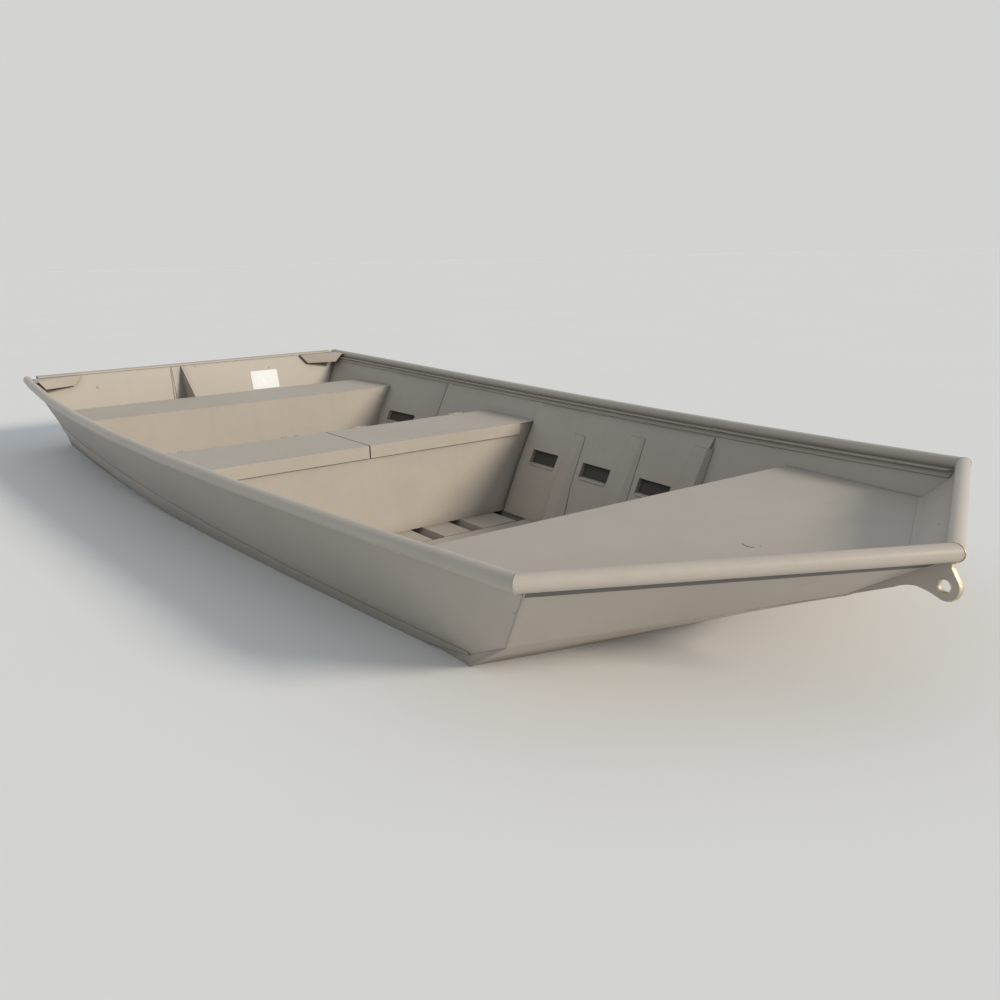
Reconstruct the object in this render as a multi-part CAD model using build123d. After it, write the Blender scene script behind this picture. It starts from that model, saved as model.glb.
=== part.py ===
from build123d import *
import math
import os

# Open flat-bottomed jon boat of welded aluminium sheet, bow along +X, port side along +Y.
# Millimetres. Heights are above the undersides of the bottom strakes, which it stands on.
# Lengths (x) are from the top edge of the transom; the finished boat is centred on the origin.

# Length of the hull, and what is measured from its bow corner
CORNER_X = 3864
BOW_ADVANCE = 406           # on to the nose
UPTURN_BACK = 719           # back to where the flat bottom turns up
CORNER_RAKE = 192           # back to the foot of the bow corner
DECK_RUN = 564              # back to the aft edge of the fore deck

# Sheer line: the centre of the rail tube, at four equally spaced places from stern to bow corner
BEAM_STERN, BEAM_AFT, BEAM_FORE, BEAM_CORNER = 823, 873.5, 825, 737
SHEER_STERN, SHEER_AFT, SHEER_FORE, SHEER_CORNER = 572, 542, 540, 566
NOSE_Z = 573

# Chine line: the top edge of the spray rail at the same four places
CHINE_STERN, CHINE_AFT, CHINE_FORE, CHINE_CORNER = 363, 329, 285, 290

# Hull plating
PLATE = 3
FIT = 0.2                   # clearance of welded pieces that lie edge to edge
FLARE_ANGLE = 26.4          # of the side, from upright
SIDE_INSET = 9              # outer face of the side, inboard of the tube's centre
PANEL_TOP_DROP = 20         # top edge of the sheet, below the tube's centre
BOTTOM_Z = 15               # outer face of the bottom plate
BOTTOM_STERN, BOTTOM_MID, BOTTOM_FORE = 620, 604, 590
BOTTOM_EDGE_IN = 3.6        # edge of the bottom plate, inside the outer face of the chine
BOW_FOOT_IN, BOW_FOOT_Z = 7.4, 347      # foot of the bow corner, inside the line of the side
STEM_FOOT_Z = 427
STEM_ANGLE = 31.2           # of the bow's centreline, from level
FACET_END = 1.5             # the lower side plate runs out to this height at the bow
SEAM_GAP = 1                # between the bow's bottom and its panels, at the foot of the corner
FACET_BAYS, FACET_STRIPS = 6, 4     # flat facets that a twisted bow sheet is made of

# Spray rail at the chine
SPRAY_OUT = 15
SPRAY_STERN, SPRAY_MID, SPRAY_FORE = 38, 60, 50
SPRAY_OVERRUN = 364         # how far it runs on past the turn of the bottom
SPRAY_TIP = 8
SPRAY_HOOK, SPRAY_EDGE = 2, 2

# Rail tube, the ledge inside it and the slot for the sheet below it
TUBE_R = 19
TUBE_AFT = -6
LEDGE_WIDTH, LEDGE_DROP, LEDGE_THICK = 37, 12.5, 3.5
SKIRT_THICK = 3.4
SKIRT_OUTER_DROP, SKIRT_INNER_DROP = 30, 34
BOW_SHEET_IN = 10           # outer face of the bow sheet's top edge, inboard of the tube's centre
BOW_LIP, BOW_LEDGE_WIDTH = 6.5, 17

# Transom
TRANSOM_RISE = 14           # top edge above the tube's centre
TRANSOM_ANGLE = 15          # from upright
TRANSOM_SKIN = 4
CORE_THICK = 32
CORE_FOOT_Z = 300
CAP_THICK = 3
CAP_LEG = 6
EAR_Y = 782                 # half width between the rails at the transom's top
EAR_DROP, EAR_STEP = 38, 8  # where the transom narrows to it, below the tube's centre
PAD_WIDTH, PAD_HEIGHT, PAD_THICK = 360, 300, 6
PAD_DROP = 2                # below the cap
PLUG_Y, PLUG_Z = 130, 62
PLUG_R, PLUG_FLANGE, PLUG_GRIP = 15, 4, 9
PLUG_FLATS = 24
KNEE_Y = -85
KNEE_THICK, KNEE_FLANGE = 5, 50
KNEE_ANGLE = 39             # of its open edge, from level
KNEE_HEAD, KNEE_TAIL = 12, 20
KNEE_FLANGE_UNDER = 60      # the flange runs down to this far below the rear bench
GUSSET_ALONG_TRANSOM, GUSSET_ALONG_RAIL = 195, 95
GUSSET_LIP = 46
GUSSET_BLUNT = 13           # width of its cut-off corners
GUSSET_LIP_CUT = 38         # how much shorter its lip is below, at each end
GUSSET_DROP = 7             # top of the corner plate below the top of the transom

# Floor: lengthwise hat stringers, split by the cross ribs
FLOOR_RISE = 45             # height of the stringers over the bottom plate
STRINGER_WIDTHS = (146, 142, 186)
STRINGER_GAP = 38
STRINGER_BEVEL, FLOOR_RIB_BEVEL = 10, 8
FLOOR_AFT_X = 260
FLOOR_RIB_BACK = 100        # how far aft of a side rib its floor rib lies
FLOOR_FORE_GAP = 20         # from the last stringers to the turn of the bottom
STRAKE_WIDTH, STRAKE_BEVEL = 34, 6
STRAKE_YS = (0, 210, 420)
STRAKE_AFT_X, STRAKE_FORE_GAP = 230, 65

# Benches and deck
PANEL_GAP = 0.5             # from the edge of a cross panel to the hull
REAR_X0, REAR_X1, REAR_Z = 331, 702, 452
MID_X0, MID_X1, MID_Z = 1562, 1944, 429
LID_LIP = 49
LID_SPLIT_Y = -8
LID_GAP = 5                 # between the two lids
LID_SIDE_GAP = 7            # from the end of a lid to the hull
LIP_SIDE_GAP = 60           # from the end of its lip to the hull
LIP_STAND_OFF = 6           # from the lid's lip to the front panel
MID_BENCH_SHELF = 24        # folded flange that the lids rest on
SEAT = 0.3                  # between a lid and what it rests on
DECK_Z = 471
DECK_LIP = 32
DECK_EDGE_GAP = 1.5         # from the deck to the bow panels
DECK_NOSE_RISE = 40         # of the deck's nose, ahead of the bow corners
RISER_SET_BACK = 6          # bulkhead under the deck, ahead of the deck's lip
RISER_GAP = 1

# Lid hinges
HINGE_BARREL_R, HINGE_PIN_R, HINGE_BORE_R = 5, 2.5, 2.8
HINGE_KNUCKLE = 24
HINGE_FLATS = 16
HINGE_PLAY = 0.5
HINGE_LEAF, HINGE_LEAF_DROP = 2.5, 36
HINGE_ARM = 6               # from the barrel down to the leaf's top
HINGE_LAP = 4               # how far a lid's knuckle reaches under the lid's edge
HINGE_INSET = 150           # from a lid's end to the middle of its hinge

# Side liners: a second skin inside the hull between the benches and up to the last rib
LINER_THICK = 16
LINER_TOP_DROP = 39         # its top edge below the tube's centre
LINER_FADE = 33             # height over which it thins out to its top edge
LINER_END_FADE = 40         # length over which the rear one thins out to its fore end
LINER_BENCH_GAP = 1         # from the rear bench
LINER_LID_GAP = 6           # from the lids' fore edge
LINER_SHORT = 380           # the rear one ends this far aft of the middle bench
LINER_EDGE = 1.5            # thickness of a thinned-out edge
LINER_SEAT = 0.8
LINER_FACET = 130

# Pockets in the liners, over the chine: aft end, fore end, low edge, height
POCKETS = [
    (779, 1019, 293, 46),
    (2019, 2189, 274, 51),
    (2355, 2525, 274, 52),
    (2691, 2861, 277, 51)]

# Side ribs on the liner; they narrow and fade towards their tops
RIB_BASE, RIB_CROWN, RIB_DEPTH = 140, 56, 26
RIB_TAPER, RIB_TOP_DEPTH = 28, 6
RIB_EDGE, RIB_SEAT = 1.5, 0.6
RIB_CLOSING_BEVEL = 24      # run of the last rib's fore bevel, which closes the liner's end
# Aft edge, top below the tube's centre
RIBS = [
    (2203, 120),
    (2539, 82),
    (2875, 72)]

# Bow eye: a round lug on an upright plate along the stem
EYE_BACK, EYE_DROP = 8, 70.3            # from the nose
EYE_R, EYE_HOLE_R = 29, 14
EYE_HOLE_BACK = 3           # from the middle of the lug
EYE_PLATE = 14
STEM_PLATE_START = 4        # along the stem from its foot
HOLLOW_RUN, HOLLOW_DEPTH = 106, 17    # where the plate's lower edge turns down to the lug
NECK_X, NECK_RISE = 9, 40   # fore edge of the neck and its foot, from the middle of the lug
NECK_TURN = 35              # where the lug's round ends below it, in degrees above level


# Shapes from points

def face(points):
    return Face(Polyline(*points, close=True).wire())


def skin(sections):
    """Ruled solid through closed sections with the same number of corners."""
    wires = [Polyline(*points, close=True).wire() for points in sections]
    return Solid.make_loft(wires, ruled=True)


def folded(sections):
    """Solid of flat facets through closed, flat sections with the same number of corners."""
    faces = [face(sections[0]), face(sections[-1])]
    for near, far in zip(sections, sections[1:]):
        for i in range(len(near)):
            j = (i + 1) % len(near)
            faces += [face([near[i], near[j], far[j]]), face([near[i], far[j], far[i]])]
    return Solid(Shell(faces))


def divided(corners, strips):
    """A closed section of four corners, with more points along its two long edges."""
    low, high, high_in, low_in = (Vector(*corner) for corner in corners)
    shares = [i / strips for i in range(strips + 1)]
    return [low + (high - low) * s for s in shares] + [high_in + (low_in - high_in) * s for s in shares]


def twisted(near, far):
    """Twisted sheet between two sections of four corners, in flat facets."""
    sections = []
    for i in range(FACET_BAYS + 1):
        t = i / FACET_BAYS
        rows = zip(divided(near, FACET_STRIPS), divided(far, FACET_STRIPS))
        sections.append([tuple(a + (b - a) * t) for a, b in rows])
    return folded(sections)


def joined(shapes):
    total = shapes[0]
    for shape in shapes[1:]:
        total = total + shape
    return total


def slab(points, z_low, thick):
    """Level plate from plan points (x, y)."""
    return extrude(face([(x, y, z_low) for x, y in points]), amount=thick, dir=(0, 0, 1))


def across(points, x_aft, thick):
    """Upright athwartships plate from section points (y, z)."""
    return extrude(face([(x_aft, y, z) for y, z in points]), amount=thick, dir=(1, 0, 0))


def lengthwise(points, y_low, thick):
    """Upright lengthwise plate from profile points (x, z)."""
    return extrude(face([(x, y_low, z) for x, z in points]), amount=thick, dir=(0, 1, 0))


def both_sides(half):
    """Closed outline from the port half of an outline."""
    return half + [(-y, z) for y, z in reversed(half)]


def both_edges(rows):
    """Closed plan from rows of (x, half width)."""
    return rows + [(x, -y) for x, y in reversed(rows)]


# Lines of the hull

FLARE = math.tan(math.radians(FLARE_ANGLE))
TRANSOM_RAKE = math.tan(math.radians(TRANSOM_ANGLE))
STEM_RAKE = math.tan(math.radians(STEM_ANGLE))
SLANT = PLATE * math.hypot(1, FLARE)        # the side's thickness, measured level
RAKE_START_X = CORNER_X - UPTURN_BACK
SPRAY_END_X = RAKE_START_X + SPRAY_OVERRUN
TRANSOM_TOP = SHEER_STERN + TRANSOM_RISE
FLOOR_Z = BOTTOM_Z + PLATE
DECKING_Z = FLOOR_Z + FLOOR_RISE


def through_four(values, x):
    """The cubic through four values, spaced evenly from the stern to the bow corner."""
    t = 3 * x / CORNER_X
    total = 0
    for i, value in enumerate(values):
        weight = 1
        for j in range(4):
            if j != i:
                weight *= (t - j) / (i - j)
        total += weight * value
    return total


def beam(x):
    return through_four((BEAM_STERN, BEAM_AFT, BEAM_FORE, BEAM_CORNER), x)


def sheer(x):
    return through_four((SHEER_STERN, SHEER_AFT, SHEER_FORE, SHEER_CORNER), x)


def chine_top(x):
    return through_four((CHINE_STERN, CHINE_AFT, CHINE_FORE, CHINE_CORNER), x)


def between(x, rows):
    """Straight-line value at x from rows of (x, value)."""
    for (xa, va), (xb, vb) in zip(rows, rows[1:]):
        if x <= xb:
            return va + (vb - va) * (x - xa) / (xb - xa)
    return rows[-1][1]


def spray_height(x):
    return between(x, [(0, SPRAY_STERN), (CORNER_X / 2, SPRAY_MID), (RAKE_START_X, SPRAY_FORE),
                       (SPRAY_END_X, SPRAY_TIP)])


def side_y(x, z):
    """Outer face of the flared side."""
    return beam(x) - SIDE_INSET - FLARE * (sheer(x) - z)


def bottom_half(x):
    return between(x, [(0, BOTTOM_STERN), (CORNER_X / 2, BOTTOM_MID), (RAKE_START_X, BOTTOM_FORE)])


def transom_x(z):
    return TRANSOM_RAKE * (TRANSOM_TOP - z)


# Corners of the bow

CORNER = Vector(CORNER_X, BEAM_CORNER, SHEER_CORNER)
NOSE = Vector(CORNER_X + BOW_ADVANCE, 0, NOSE_Z)
BOW_RUN = (NOSE - CORNER).normalized()
BOW_OUT = Vector(-BOW_RUN.Y, BOW_RUN.X, 0).normalized()
BOW_FOOT_X = CORNER_X - CORNER_RAKE
BOW_FOOT = Vector(BOW_FOOT_X, side_y(BOW_FOOT_X, BOW_FOOT_Z) - BOW_FOOT_IN, BOW_FOOT_Z)
STEM_TOP = NOSE + Vector(-(BOW_SHEET_IN + FIT) / BOW_OUT.X, 0, -PANEL_TOP_DROP)
STEM_FOOT = Vector(STEM_TOP.X - (STEM_TOP.Z - STEM_FOOT_Z) / STEM_RAKE, 0, STEM_FOOT_Z)


def sheets_meet():
    """Where the top edges of the side and bow sheets meet at the bow corner."""
    x = CORNER_X
    for _ in range(8):
        z = sheer(x) - PANEL_TOP_DROP
        y = side_y(x, z)
        x = CORNER_X - (BOW_SHEET_IN + FIT + (y - BEAM_CORNER) * BOW_OUT.Y) / BOW_OUT.X
    return Vector(x, side_y(x, z), z)


CORNER_TOP = sheets_meet()


def chine_edge(x):
    """Lower edge of the lower side plate: level, then rising along the raked bow."""
    if x <= RAKE_START_X:
        return bottom_half(x), BOTTOM_Z
    t = (x - RAKE_START_X) / (BOW_FOOT.X - RAKE_START_X)
    end_z = BOW_FOOT.Z - FACET_END
    return BOTTOM_FORE + t * (BOW_FOOT.Y - BOTTOM_FORE), BOTTOM_Z + t * (end_z - BOTTOM_Z)


# Sections of the plating: one in the raked transom, one just ahead of it, then even bays
AFT_STATION_X = 200
BAYS = 6
BAY = (RAKE_START_X - AFT_STATION_X) / BAYS
STATIONS = [0] + [AFT_STATION_X + BAY * i for i in range(BAYS + 1)] + [SPRAY_END_X]
CHINE, KNUCKLE, TOP = range(3)      # corners of a section, from the bottom up


def outer_corner(x, corner):
    """(y, z) of one corner of the outer section at x, port side."""
    if corner == CHINE:
        return chine_edge(x)
    z = chine_top(x) - spray_height(x) if corner == KNUCKLE else sheer(x) - PANEL_TOP_DROP
    return side_y(x, z), z


def station_outer(index):
    """Outer corners (x, y, z) at a station; the first station lies in the raked transom."""
    corners = []
    for corner in (CHINE, KNUCKLE, TOP):
        x = STATIONS[index]
        if index == 0:
            for _ in range(6):
                x = transom_x(outer_corner(x, corner)[1])
        corners.append((x, *outer_corner(x, corner)))
    return corners


def station_inner(index):
    """The same corners on the inner face, mitred at the knuckle."""
    (_, y0, z0), (_, y1, z1), (_, y2, z2) = station_outer(index)
    low = (y1 - y0) / (z1 - z0)
    high = (y2 - y1) / (z2 - z1)
    low_y = y0 - PLATE * math.hypot(1, low)
    high_y = y2 - PLATE * math.hypot(1, high)
    knuckle_z = (high_y - high * z2 - low_y + low * z0) / (low - high)
    section = [(low_y, z0), (low_y + low * (knuckle_z - z0), knuckle_z), (high_y, z2)]
    return [(transom_x(z) if index == 0 else STATIONS[index], y, z) for y, z in section]


INNER = [station_inner(i) for i in range(len(STATIONS))]


def inner_section(x):
    """Inner corners (y, z) of the ruled plating at any x."""
    bay = 0
    while bay < len(STATIONS) - 2 and x > STATIONS[bay + 1]:
        bay += 1
    section = []
    for a, b in zip(INNER[bay], INNER[bay + 1]):
        t = (x - a[0]) / (b[0] - a[0])
        section.append((a[1] + t * (b[1] - a[1]), a[2] + t * (b[2] - a[2])))
    return section


def knuckle_height(x):
    return inner_section(x)[KNUCKLE][1]


def inner_half(x, z):
    """Half width inside the plating at (x, z)."""
    chine, knuckle, top = inner_section(x)
    (ya, za), (yb, zb) = (chine, knuckle) if z <= knuckle[1] else (knuckle, top)
    return ya + (yb - ya) * (z - za) / (zb - za)


def clear_half(x, thick, z, gap):
    """Half width that a cross panel from x to x + thick may have at height z."""
    return min(inner_half(x, z), inner_half(x + thick, z)) - gap


def stops(x0, x1):
    """x0, the hull's stations between, and x1."""
    return [x0] + [x for x in STATIONS if x0 < x < x1] + [x1]


def close_stops(x0, x1, pitch):
    """The same, with more between, so that flat facets follow the twist of the plating."""
    places = [x0]
    for a, b in zip(stops(x0, x1), stops(x0, x1)[1:]):
        count = math.ceil((b - a) / pitch)
        places += [a + (b - a) * i / count for i in range(1, count + 1)]
    return places


def bow_directions():
    """Inward thickness vectors at the corner edge and at the stem edge."""
    edge = (CORNER_TOP - BOW_FOOT).normalized()
    foot = (STEM_FOOT - BOW_FOOT).normalized()
    stem = (STEM_TOP - STEM_FOOT).normalized()
    bow_in = edge.cross(foot).normalized()
    if bow_in.Z < 0:
        bow_in = bow_in * -1
    aft = Vector(*station_outer(-1)[TOP]) - CORNER_TOP
    side_in = aft.cross(edge).normalized()
    if side_in.Y > 0:
        side_in = side_in * -1
    corner_in = (bow_in + side_in).normalized()
    corner_in = corner_in * (PLATE / corner_in.dot(bow_in))
    stem_in = Vector(-stem.Z, 0, stem.X)
    stem_face = foot.cross(stem).normalized()
    stem_in = stem_in * (PLATE / abs(stem_in.dot(stem_face)))
    level_corner_in = corner_in - edge * (corner_in.Z / edge.Z)
    return corner_in, stem_in, level_corner_in


CORNER_IN, STEM_IN, CORNER_TOP_IN = bow_directions()


def quad(low, high, low_in, high_in):
    return [tuple(low), tuple(high), tuple(high + high_in), tuple(low + low_in)]


# Hull plating

def bottom_plate():
    aft_x = transom_x(BOTTOM_Z) + FIT
    rows = [(x, bottom_half(x) - BOTTOM_EDGE_IN) for x in [aft_x] + STATIONS[1:BAYS + 2]]
    return slab(both_edges(rows), BOTTOM_Z, PLATE)


def forefoot_half():
    """Twisted half of the raked bow bottom, between the lower side plate and the centreline."""
    aft = Vector(RAKE_START_X, 0, BOTTOM_Z)
    aft_chine = Vector(RAKE_START_X, BOTTOM_FORE - BOTTOM_EDGE_IN, BOTTOM_Z)
    seam = STEM_FOOT - BOW_FOOT
    share = 1.5 * BOTTOM_EDGE_IN / seam.length
    stem_down = (STEM_FOOT - STEM_TOP).normalized() * FIT
    corner_down = (BOW_FOOT - CORNER_TOP).normalized() * SEAM_GAP
    fore_chine = BOW_FOOT + seam * share + corner_down
    up = Vector(0, 0, PLATE)
    return twisted(quad(aft, aft_chine, up, up),
                   quad(STEM_FOOT + stem_down, fore_chine, STEM_IN, STEM_IN))


def forefoot_height(x, share):
    """Underside of the raked bow bottom at x; share runs from 0 at the centreline to 1."""
    run = (1 - share) * (STEM_FOOT.X - RAKE_START_X) + share * (BOW_FOOT.X - RAKE_START_X)
    end_z = (1 - share) * STEM_FOOT.Z + share * BOW_FOOT.Z
    return BOTTOM_Z + (x - RAKE_START_X) / run * (end_z - BOTTOM_Z)


def side_sections(low, high, gap):
    """Sections of the plating between two corners; its upper edge stops a gap short."""
    sections = []
    for i in range(len(STATIONS)):
        faces = []
        for corners in (station_outer(i), INNER[i]):
            foot, top = Vector(*corners[low]), Vector(*corners[high])
            faces.append((tuple(foot), tuple(top + (foot - top).normalized() * gap)))
        (outer_foot, outer_top), (inner_foot, inner_top) = faces
        sections.append([outer_foot, outer_top, inner_top, inner_foot])
    return sections


def lower_side():
    low = BOW_FOOT - Vector(0, 0.6 * FACET_END, FACET_END)
    high = BOW_FOOT - Vector(0, 0, 3 * FIT)
    return skin(side_sections(CHINE, KNUCKLE, 2 * FIT) + [quad(low, high, CORNER_IN, CORNER_IN)])


def side_panel():
    return skin(side_sections(KNUCKLE, TOP, 0) + [
        quad(BOW_FOOT, CORNER_TOP, CORNER_IN, CORNER_TOP_IN)])


def bow_panel():
    return twisted(quad(BOW_FOOT, CORNER_TOP, CORNER_IN, CORNER_TOP_IN),
                   quad(STEM_FOOT, STEM_TOP, STEM_IN, STEM_IN))


def bow_panel_room():
    """The bow panel's corner with a clearance round it, to notch the side rail."""
    slack = FIT / PLATE
    grown = 1 + 2 * slack
    rise = (CORNER_TOP - BOW_FOOT).normalized() * FIT
    corner = quad(BOW_FOOT - CORNER_IN * slack, CORNER_TOP - CORNER_TOP_IN * slack + rise,
                  CORNER_IN * grown, CORNER_TOP_IN * grown)
    stem = quad(STEM_FOOT - STEM_IN * slack, STEM_TOP - STEM_IN * slack + rise,
                STEM_IN * grown, STEM_IN * grown)
    return skin([corner, stem])


def spray_rail():
    """Bent chine rail: a near-upright face that looks slightly up, closed against the side."""
    sections = []
    for i, x in enumerate(STATIONS):
        _, knuckle, top = station_outer(i)
        height = spray_height(x)
        share = height / (top[2] - knuckle[2])
        crest_y = knuckle[1] + share * (top[1] - knuckle[1])
        crest_z = knuckle[2] + height
        out = SPRAY_OUT * height / SPRAY_MID
        profile = [knuckle[1:], (knuckle[1] + out, knuckle[2] - SPRAY_HOOK),
                   (crest_y + SPRAY_EDGE, crest_z - SPRAY_EDGE / 2), (crest_y, crest_z)]
        sections.append([(transom_x(z) if i == 0 else x, y, z) for y, z in profile])
    return skin(sections)


# Rails

def side_skirt():
    """(outward, up) from the tube's centre: ledge inboard, and a slot that takes the sheet."""
    def sheet(drop):
        return -SIDE_INSET - FLARE * drop

    inner = SLANT + 3 * FIT
    slot_top = PANEL_TOP_DROP - 2 * FIT
    root = SKIRT_OUTER_DROP / 2 + LEDGE_THICK / 2
    ledge_low = LEDGE_DROP + LEDGE_THICK
    return [
        (-0.3 * TUBE_R, -0.75 * TUBE_R),
        (sheet(root) + FIT + SKIRT_THICK, -root),
        (sheet(SKIRT_OUTER_DROP) + FIT + SKIRT_THICK, -SKIRT_OUTER_DROP),
        (sheet(SKIRT_OUTER_DROP) + FIT, -SKIRT_OUTER_DROP),
        (sheet(slot_top) + FIT, -slot_top),
        (sheet(slot_top) - inner, -slot_top),
        (sheet(SKIRT_INNER_DROP) - inner, -SKIRT_INNER_DROP),
        (sheet(SKIRT_INNER_DROP) - inner - SKIRT_THICK, -SKIRT_INNER_DROP),
        (sheet(ledge_low) - inner - SKIRT_THICK, -ledge_low),
        (-LEDGE_WIDTH, -ledge_low), (-LEDGE_WIDTH, -LEDGE_DROP), (-0.63 * TUBE_R, -LEDGE_DROP)]


def bow_skirt():
    """(outward, up) from the tube's centre: lip before the bow sheet's edge, and ledge over it."""
    seat = PANEL_TOP_DROP - PLATE
    foot = PANEL_TOP_DROP + 1
    return [
        (-0.3 * TUBE_R, -0.75 * TUBE_R), (-BOW_SHEET_IN + BOW_LIP, -foot), (-BOW_SHEET_IN, -foot),
        (-BOW_SHEET_IN, -seat), (-BOW_LEDGE_WIDTH, -seat), (-BOW_LEDGE_WIDTH, -LEDGE_DROP),
        (-0.63 * TUBE_R, -LEDGE_DROP)]


def corner_mitre():
    step = 5
    along = Vector(step, beam(CORNER_X + step) - BEAM_CORNER, sheer(CORNER_X + step) - SHEER_CORNER)
    return Plane(origin=CORNER, z_dir=(along.normalized() + BOW_RUN).normalized())


def side_rail():
    aft_x = station_outer(0)[TOP][0]
    past_mitre = CORNER_X + 3 * TUBE_R
    rings = []
    skirts = []
    for x in [TUBE_AFT, aft_x] + STATIONS[1:] + [CORNER_TOP.X, past_mitre]:
        centre = (x, beam(x), sheer(x))
        plane = Plane(origin=centre, x_dir=(0, 1, 0), z_dir=(1, 0, 0))
        rings.append((plane * Circle(TUBE_R)).wire())
        skirts.append([(x, centre[1] + out, centre[2] + up) for out, up in side_skirt()])
    skirt = folded(skirts) - bow_panel_room()
    rail = Solid.make_loft(rings, ruled=True) + max(skirt.solids(), key=lambda one: one.volume)
    return split(rail, bisect_by=corner_mitre(), keep=Keep.BOTTOM)


def bow_rail():
    spare = 2 * BOW_LEDGE_WIDTH
    plane = Plane(origin=CORNER - BOW_RUN * spare, x_dir=BOW_OUT, z_dir=BOW_RUN)
    up = plane.y_dir.Z
    skirt = Polyline(*[(out, rise * up) for out, rise in bow_skirt()], close=True)
    length = (NOSE - CORNER).length + 2 * spare
    rail = extrude(plane * Circle(TUBE_R), amount=length)
    rail = rail + extrude(plane * make_face(skirt), amount=length)
    rail = split(rail, bisect_by=corner_mitre(), keep=Keep.TOP)
    return split(rail, bisect_by=Plane(origin=(0, 0, 0), z_dir=(0, 1, 0)), keep=Keep.TOP)


# Transom

def raked_plate(points, x_off, thick):
    """Plate parallel to the transom from points (y, z); thick is measured along x."""
    flat = face([(transom_x(z) + x_off, y, z) for y, z in points])
    return extrude(flat, amount=thick, dir=(1, 0, 0))


def ear(inset):
    """Points (y, z) where the transom's edge steps in beside the rail, up to its top."""
    z = SHEER_STERN - EAR_DROP
    return [(EAR_Y - inset, z + EAR_STEP), (EAR_Y - inset, TRANSOM_TOP)]


def transom_plate():
    chine, knuckle, _ = [corner[1:] for corner in station_outer(0)]
    ear_z = SHEER_STERN - EAR_DROP
    half = [chine, knuckle, (side_y(transom_x(ear_z), ear_z), ear_z)] + ear(0)
    return raked_plate(both_sides(half), -TRANSOM_SKIN, TRANSOM_SKIN)


def transom_core():
    half = []
    for z in (CORE_FOOT_Z, INNER[0][KNUCKLE][2], SHEER_STERN - EAR_DROP):
        half.append((clear_half(transom_x(z), CORE_THICK, z, 2 * PANEL_GAP), z))
    return raked_plate(both_sides(half + ear(PLATE)), 0, CORE_THICK)


def transom_cap():
    outer = TRANSOM_SKIN + CAP_THICK
    inner = CORE_THICK + CAP_THICK
    foot = TRANSOM_TOP - CAP_LEG
    cap = slab([(-outer, -EAR_Y), (inner, -EAR_Y), (inner, EAR_Y), (-outer, EAR_Y)],
               TRANSOM_TOP, CAP_THICK)
    leg = both_sides([(EAR_Y, foot), (EAR_Y, TRANSOM_TOP)])
    return joined([cap, raked_plate(leg, -outer, CAP_THICK), raked_plate(leg, CORE_THICK, CAP_THICK)])


def motor_pad():
    top = TRANSOM_TOP - CAP_LEG - PAD_DROP
    half = [(PAD_WIDTH / 2, top - PAD_HEIGHT), (PAD_WIDTH / 2, top)]
    return raked_plate(both_sides(half), -TRANSOM_SKIN - PAD_THICK, PAD_THICK)


def drain_plug():
    x = transom_x(PLUG_Z) - TRANSOM_SKIN
    plane = Plane(origin=(x, PLUG_Y, PLUG_Z)).rotated((0, -90 - TRANSOM_ANGLE, 0))
    flange = extrude(plane * RegularPolygon(PLUG_R, PLUG_FLATS), amount=PLUG_FLANGE)
    grip = extrude(plane.offset(PLUG_FLANGE) * RegularPolygon(0.6 * PLUG_R, 6), amount=PLUG_GRIP)
    return flange + grip


def knee():
    """Upright brace from the transom's top down to the back of the rear bench."""
    bench_x = REAR_X0 - FIT
    top = TRANSOM_TOP - CAP_LEG - SKIRT_THICK
    head_x = transom_x(top) + CORE_THICK
    core_foot_x = transom_x(CORE_FOOT_Z)
    fall = math.tan(math.radians(KNEE_ANGLE)) * (bench_x - head_x)
    outline = [(head_x, top), (core_foot_x + CORE_THICK, CORE_FOOT_Z), (core_foot_x, CORE_FOOT_Z),
               (transom_x(DECKING_Z), DECKING_Z), (bench_x, DECKING_Z),
               (bench_x, top - fall + KNEE_TAIL), (head_x + KNEE_HEAD, top)]
    plate = lengthwise(outline, KNEE_Y - KNEE_THICK / 2, KNEE_THICK)
    foot = REAR_Z - KNEE_FLANGE_UNDER
    flange = [(KNEE_Y - KNEE_FLANGE, foot), (KNEE_Y, foot), (KNEE_Y, top),
              (KNEE_Y - KNEE_FLANGE, top)]
    return plate + raked_plate(flange, CORE_THICK, PLATE)


def aft_gusset():
    """Corner plate between transom and rail, with a folded lip along its open edge."""
    top = TRANSOM_TOP - GUSSET_DROP
    low = top - PLATE
    x0 = transom_x(low) + CORE_THICK + CAP_THICK + FIT
    x1 = x0 + GUSSET_ALONG_RAIL
    inner_y = EAR_Y - GUSSET_ALONG_TRANSOM
    rail_gap = TUBE_R - FIT
    start = (x0 + GUSSET_BLUNT, inner_y)
    stop = (x1, beam(x1) - rail_gap - GUSSET_BLUNT)
    plan = [(x0, inner_y), start, stop, (x1, beam(x1) - rail_gap), (x0, beam(x0) - rail_gap)]
    run = math.dist(start, stop)
    along = ((stop[0] - start[0]) / run, (stop[1] - start[1]) / run)
    lip = []
    for reach, z in ((0, low), (run, low), (run - GUSSET_LIP_CUT, top - GUSSET_LIP),
                     (GUSSET_LIP_CUT, top - GUSSET_LIP)):
        lip.append((start[0] + reach * along[0], start[1] + reach * along[1], z))
    fold = extrude(face(lip), amount=PLATE, dir=(-along[1], along[0], 0))
    return slab(plan, low, PLATE) + fold


# Floor

def floor_rib_starts():
    return [x - FLOOR_RIB_BACK for x, _ in RIBS]


def stringer_runs():
    """Lengths of the floor that the stringers fill, between the cross ribs."""
    runs = []
    start = FLOOR_AFT_X
    for x in floor_rib_starts():
        runs.append((start, x))
        start = x + RIB_BASE
    runs.append((start, RAKE_START_X - FLOOR_FORE_GAP))
    return runs


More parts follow.
